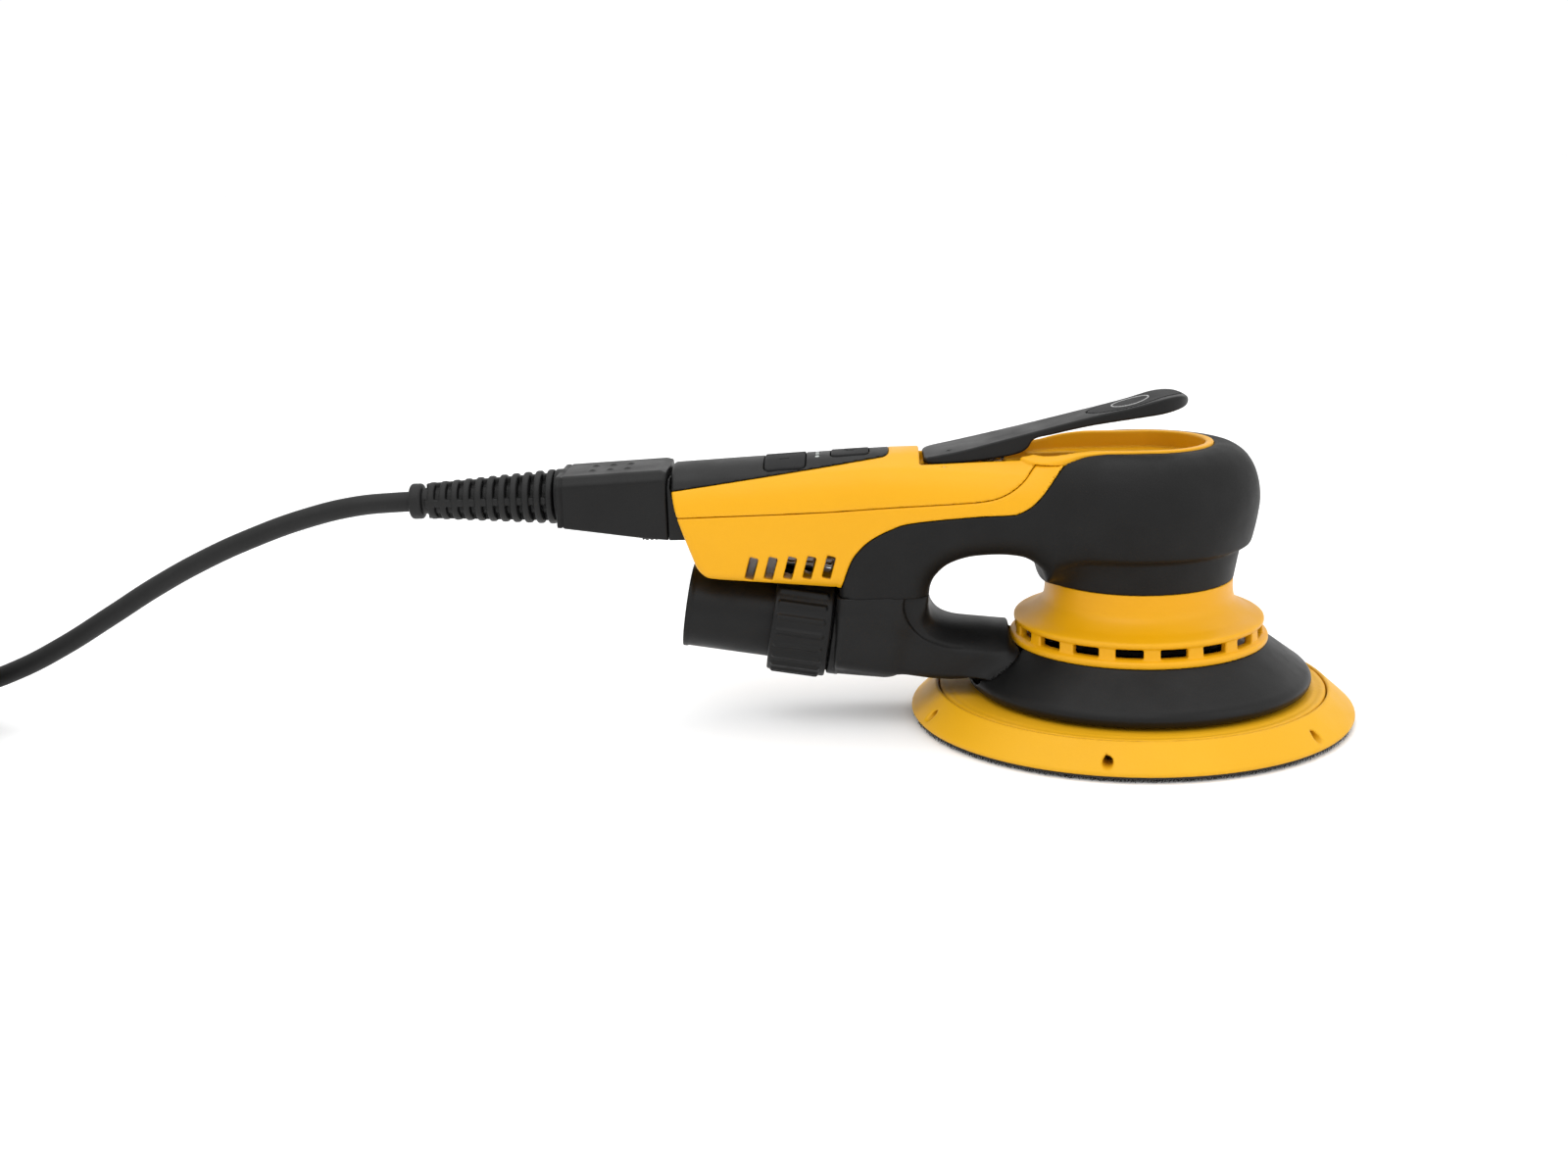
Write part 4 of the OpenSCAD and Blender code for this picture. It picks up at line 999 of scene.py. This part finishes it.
solid("cord_connector", cord_connector, (-198, -16, 64), (-149, 16, 92), 0.45, "black_plastic", "housing",
      "cord_connector")
solid("connector_latch", connector_latch, (-169, -7.5, 64), (-159, 7.5, 70), 0.3, "black_plastic",
      "connector_latch", "connector_latch")
relief = solid("strain_relief", strain_relief, (-249, -10, 68), (-197, 10, 90), 0.4, "black_rubber",
               "housing", "strain_relief")

# ------------------------------------------------------------------ pad

ECCENTRIC = 2.5
HOLE_R = 2.6
FOAM = Outline([(-5, 1.8), (74.4, 1.8)] + curve([
    (74.8, 2), (75, 2.6), (74.6, 3.4), (70.6, 7), (66.9, 10.4)], 4) + [
    (66.3, 10.9), (65.7, 10.7), (65.5, 7), (66, 7), (66, 5), (22, 5), (22, 7), (-5, 7)], 0.3, 6)


def dust_holes(px, py):
    """Three rings of dust holes, about the pad's own axis."""
    out = None
    for radius, count, start in ((30, 8, 0), (46, 16, 11), (62, 24, 0)):
        along, across = sector(px, py, count, start)
        d = np.hypot(along - radius, across) - HOLE_R
        out = d if out is None else np.minimum(out, d)
    return out


def pad_foam(x, y, z):
    """Yellow pad with six air holes in its sloping side."""
    px = x + ECCENTRIC
    f = FOAM(np.hypot(px, y), z)
    along, across = sector(px, y, 6, 17)
    f = cut(f, rod(across, z - 5.4, along, 1.7, 55, 90), 0.35)
    return cut(f, np.maximum(dust_holes(px, y), z - 6), 0.3)


def pad_plate(x, y, z):
    """Stiff plate on top of the pad, with eight openings."""
    px = x + ECCENTRIC
    r = np.hypot(px, y)
    f = rod(px, y, z, 65.2, 7.05, 10.6, 0.5)
    f = rmin(f, rod(px, y, z, 13, 8, 11.8, 0.5), 1.5)
    lip = np.maximum(np.abs(r - 62.5) - 0.4, 10.3 - z)
    f = cut(f, lip, 0.2)
    along, across = sector(px, y, 8, 22.5)
    f = cut(f, np.hypot(along - 32, across) - 6, 0.4)
    return cut(f, r - 5.5, 0.3)


def hook_face(x, y, z):
    """Sheet that carries the hooks."""
    px = x + ECCENTRIC
    f = rod(px, y, z, 74.2, 0.95, 1.78, 0.25)
    return cut(f, dust_holes(px, y), 0.2)


solid("pad_foam", pad_foam, (-78, -76, 1), (73, 76, 11.5), 0.7, "pad_yellow", "pad", "pad_foam")
solid("pad_plate", pad_plate, (-69, -67, 6.5), (64, 67, 12.5), 0.8, "pad_yellow", "pad", "pad_plate")
solid("hook_face", hook_face, (-78, -76, 0), (73, 76, 2), 0.6, "hook_pile", "pad", "hook_face")


def hook_fringe():
    """Bent hooks all over the underside, closest together near the rim."""
    rng = np.random.default_rng(7)
    spots = []
    for r in (74, 73, 71.9):
        n = int(2 * math.pi * r / 1.15)
        spots += [(r + rng.uniform(-0.2, 0.2), (i + rng.uniform(-0.3, 0.3)) * 2 * math.pi / n)
                  for i in range(n)]
    for r in np.arange(4, 71, 2.3):
        n = int(2 * math.pi * r / 2.3)
        spots += [(r + rng.uniform(-0.4, 0.4), (i + rng.uniform(-0.3, 0.3)) * 2 * math.pi / n)
                  for i in range(n)]
    pts, quads = [], []
    for r, a in spots:
        out = np.array([math.cos(a), math.sin(a), 0.0])
        side = np.array([-out[1], out[0], 0.0])
        base = np.array([-ECCENTRIC, 0, 1.0]) + out * r
        way = rng.uniform(0, 2 * math.pi)
        way = out * math.cos(way) * (0.6 if r > 73 else 1) + side * math.sin(way)
        tall = rng.uniform(0.72, 0.86)
        start = len(pts)
        for s in (0, 0.3, 0.6, 0.85, 1.1):
            drop = tall * math.sin(s * math.pi / 1.9)
            p = base + way * 0.75 * s * s - np.array([0, 0, drop])
            for q in range(3):
                b = 2 * math.pi * q / 3
                pts.append(p + 0.1 * (math.cos(b) * side + math.sin(b) * out + np.array([0, 0, 0.3 * q])))
        for i in range(4):
            for q in range(3):
                quads.append((start + 3 * i + q, start + 3 * i + (q + 1) % 3,
                              start + 3 * i + 3 + (q + 1) % 3, start + 3 * i + 3 + q))
    pts = np.array(pts)
    pts[:, 2] = np.maximum(pts[:, 2], 0.02)
    ob = mesh_object("hook_fringe", pts, np.array(quads), "hook_pile")
    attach(ob, "pad")


hook_fringe()

# ------------------------------------------------------------------ CAD nodes that stay

SLOT_OF = {
    "pad_spindle": "steel", "rotor_shaft": "steel", "rotor_core": "laminated_steel",
    "rotor_magnets": "magnet", "cooling_fan": "black_plastic", "counterweight": "steel",
    "pad_bearing": "steel",
    "stator_core": "laminated_steel", "stator_windings": "copper", "motor_flange": "aluminium",
    "upper_bearing": "steel", "lower_bearing": "steel", "upper_bearing_seat": "aluminium",
    "fan_plate": "steel", "shroud_screws": "steel", "cover_screws": "steel", "duct_screws": "steel",
    "lever_magnet": "magnet", "lever_pin": "steel", "lever_spring": "steel", "status_leds": "led_lens",
    "switch_board": "circuit_board", "controller_board": "circuit_board", "capacitors": "capacitor_sleeve",
    "heat_sink": "aluminium", "lever_sensor": "circuit_board", "inlet_pins": "steel", "plug_pins": "steel",
    "outlet_seal": "black_rubber", "brake_seal": "black_rubber", "hook_face": "hook_pile",
    "pad_foam": "pad_yellow", "pad_plate": "pad_yellow", "vent_ring": "yellow_plastic",
    "main_housing": "yellow_plastic", "top_cover": "yellow_plastic", "palm_grip": "soft_black",
    "grip_arm": "soft_black",
    "lever_insert": "key_rubber", "power_button": "key_rubber", "speed_up_button": "key_rubber",
    "speed_down_button": "key_rubber", "coil_tie": "tie", "strain_relief": "black_rubber",
    "cord": "black_rubber", "cord_coil": "black_rubber", "plug_lead": "black_rubber",
}
for name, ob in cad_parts.items():
    mat = MAT[SLOT_OF.get(name, "black_plastic")]
    for s in ob.material_slots:
        s.material = mat
    if not ob.material_slots:
        ob.data.materials.append(mat)

# ------------------------------------------------------------------ floor and light

floor_mesh = bpy.data.meshes.new("floor")
floor_mesh.from_pydata([(-6, -6, 0), (6, -6, 0), (6, 8, 0), (-6, 8, 0)], [], [(0, 1, 2, 3)])
floor = bpy.data.objects.new("floor", floor_mesh)
bpy.context.scene.collection.objects.link(floor)
paper = Nodes("paper")
paper_tone = paper.ramp(paper.noise(3, 2), (0.965, 0.965, 0.965, 1), (0.975, 0.975, 0.975, 1))
paper.set(Base_Color=paper_tone, Roughness=0.9)
floor_mesh.materials.append(paper.mat)
floor.location.z = -0.0002


def area_light(name, place, aim, size, power):
    """Rectangular lamp at a place, turned to a point."""
    data = bpy.data.lights.new(name, "AREA")
    data.shape = "RECTANGLE"
    data.size, data.size_y = size
    data.energy = power
    ob = bpy.data.objects.new(name, data)
    bpy.context.scene.collection.objects.link(ob)
    ob.location = place
    ob.rotation_euler = (Vector(aim) - Vector(place)).to_track_quat("-Z", "Y").to_euler()


area_light("key", (-0.5, -0.9, 1.5), (-0.05, 0, 0.05), (1.6, 1.2), 9)
area_light("fill", (1.1, -0.7, 0.7), (-0.05, 0, 0.05), (1.0, 1.0), 3)
area_light("top", (0.0, 0.3, 1.7), (-0.05, 0, 0), (1.8, 1.0), 8)
world = bpy.data.worlds.new("studio")
bpy.context.scene.world = world
world.use_nodes = True
world.node_tree.nodes["Background"].inputs["Color"].default_value = (1, 1, 1, 1)
world.node_tree.nodes["Background"].inputs["Strength"].default_value = 1.04
bpy.context.scene.view_settings.view_transform = "Standard"
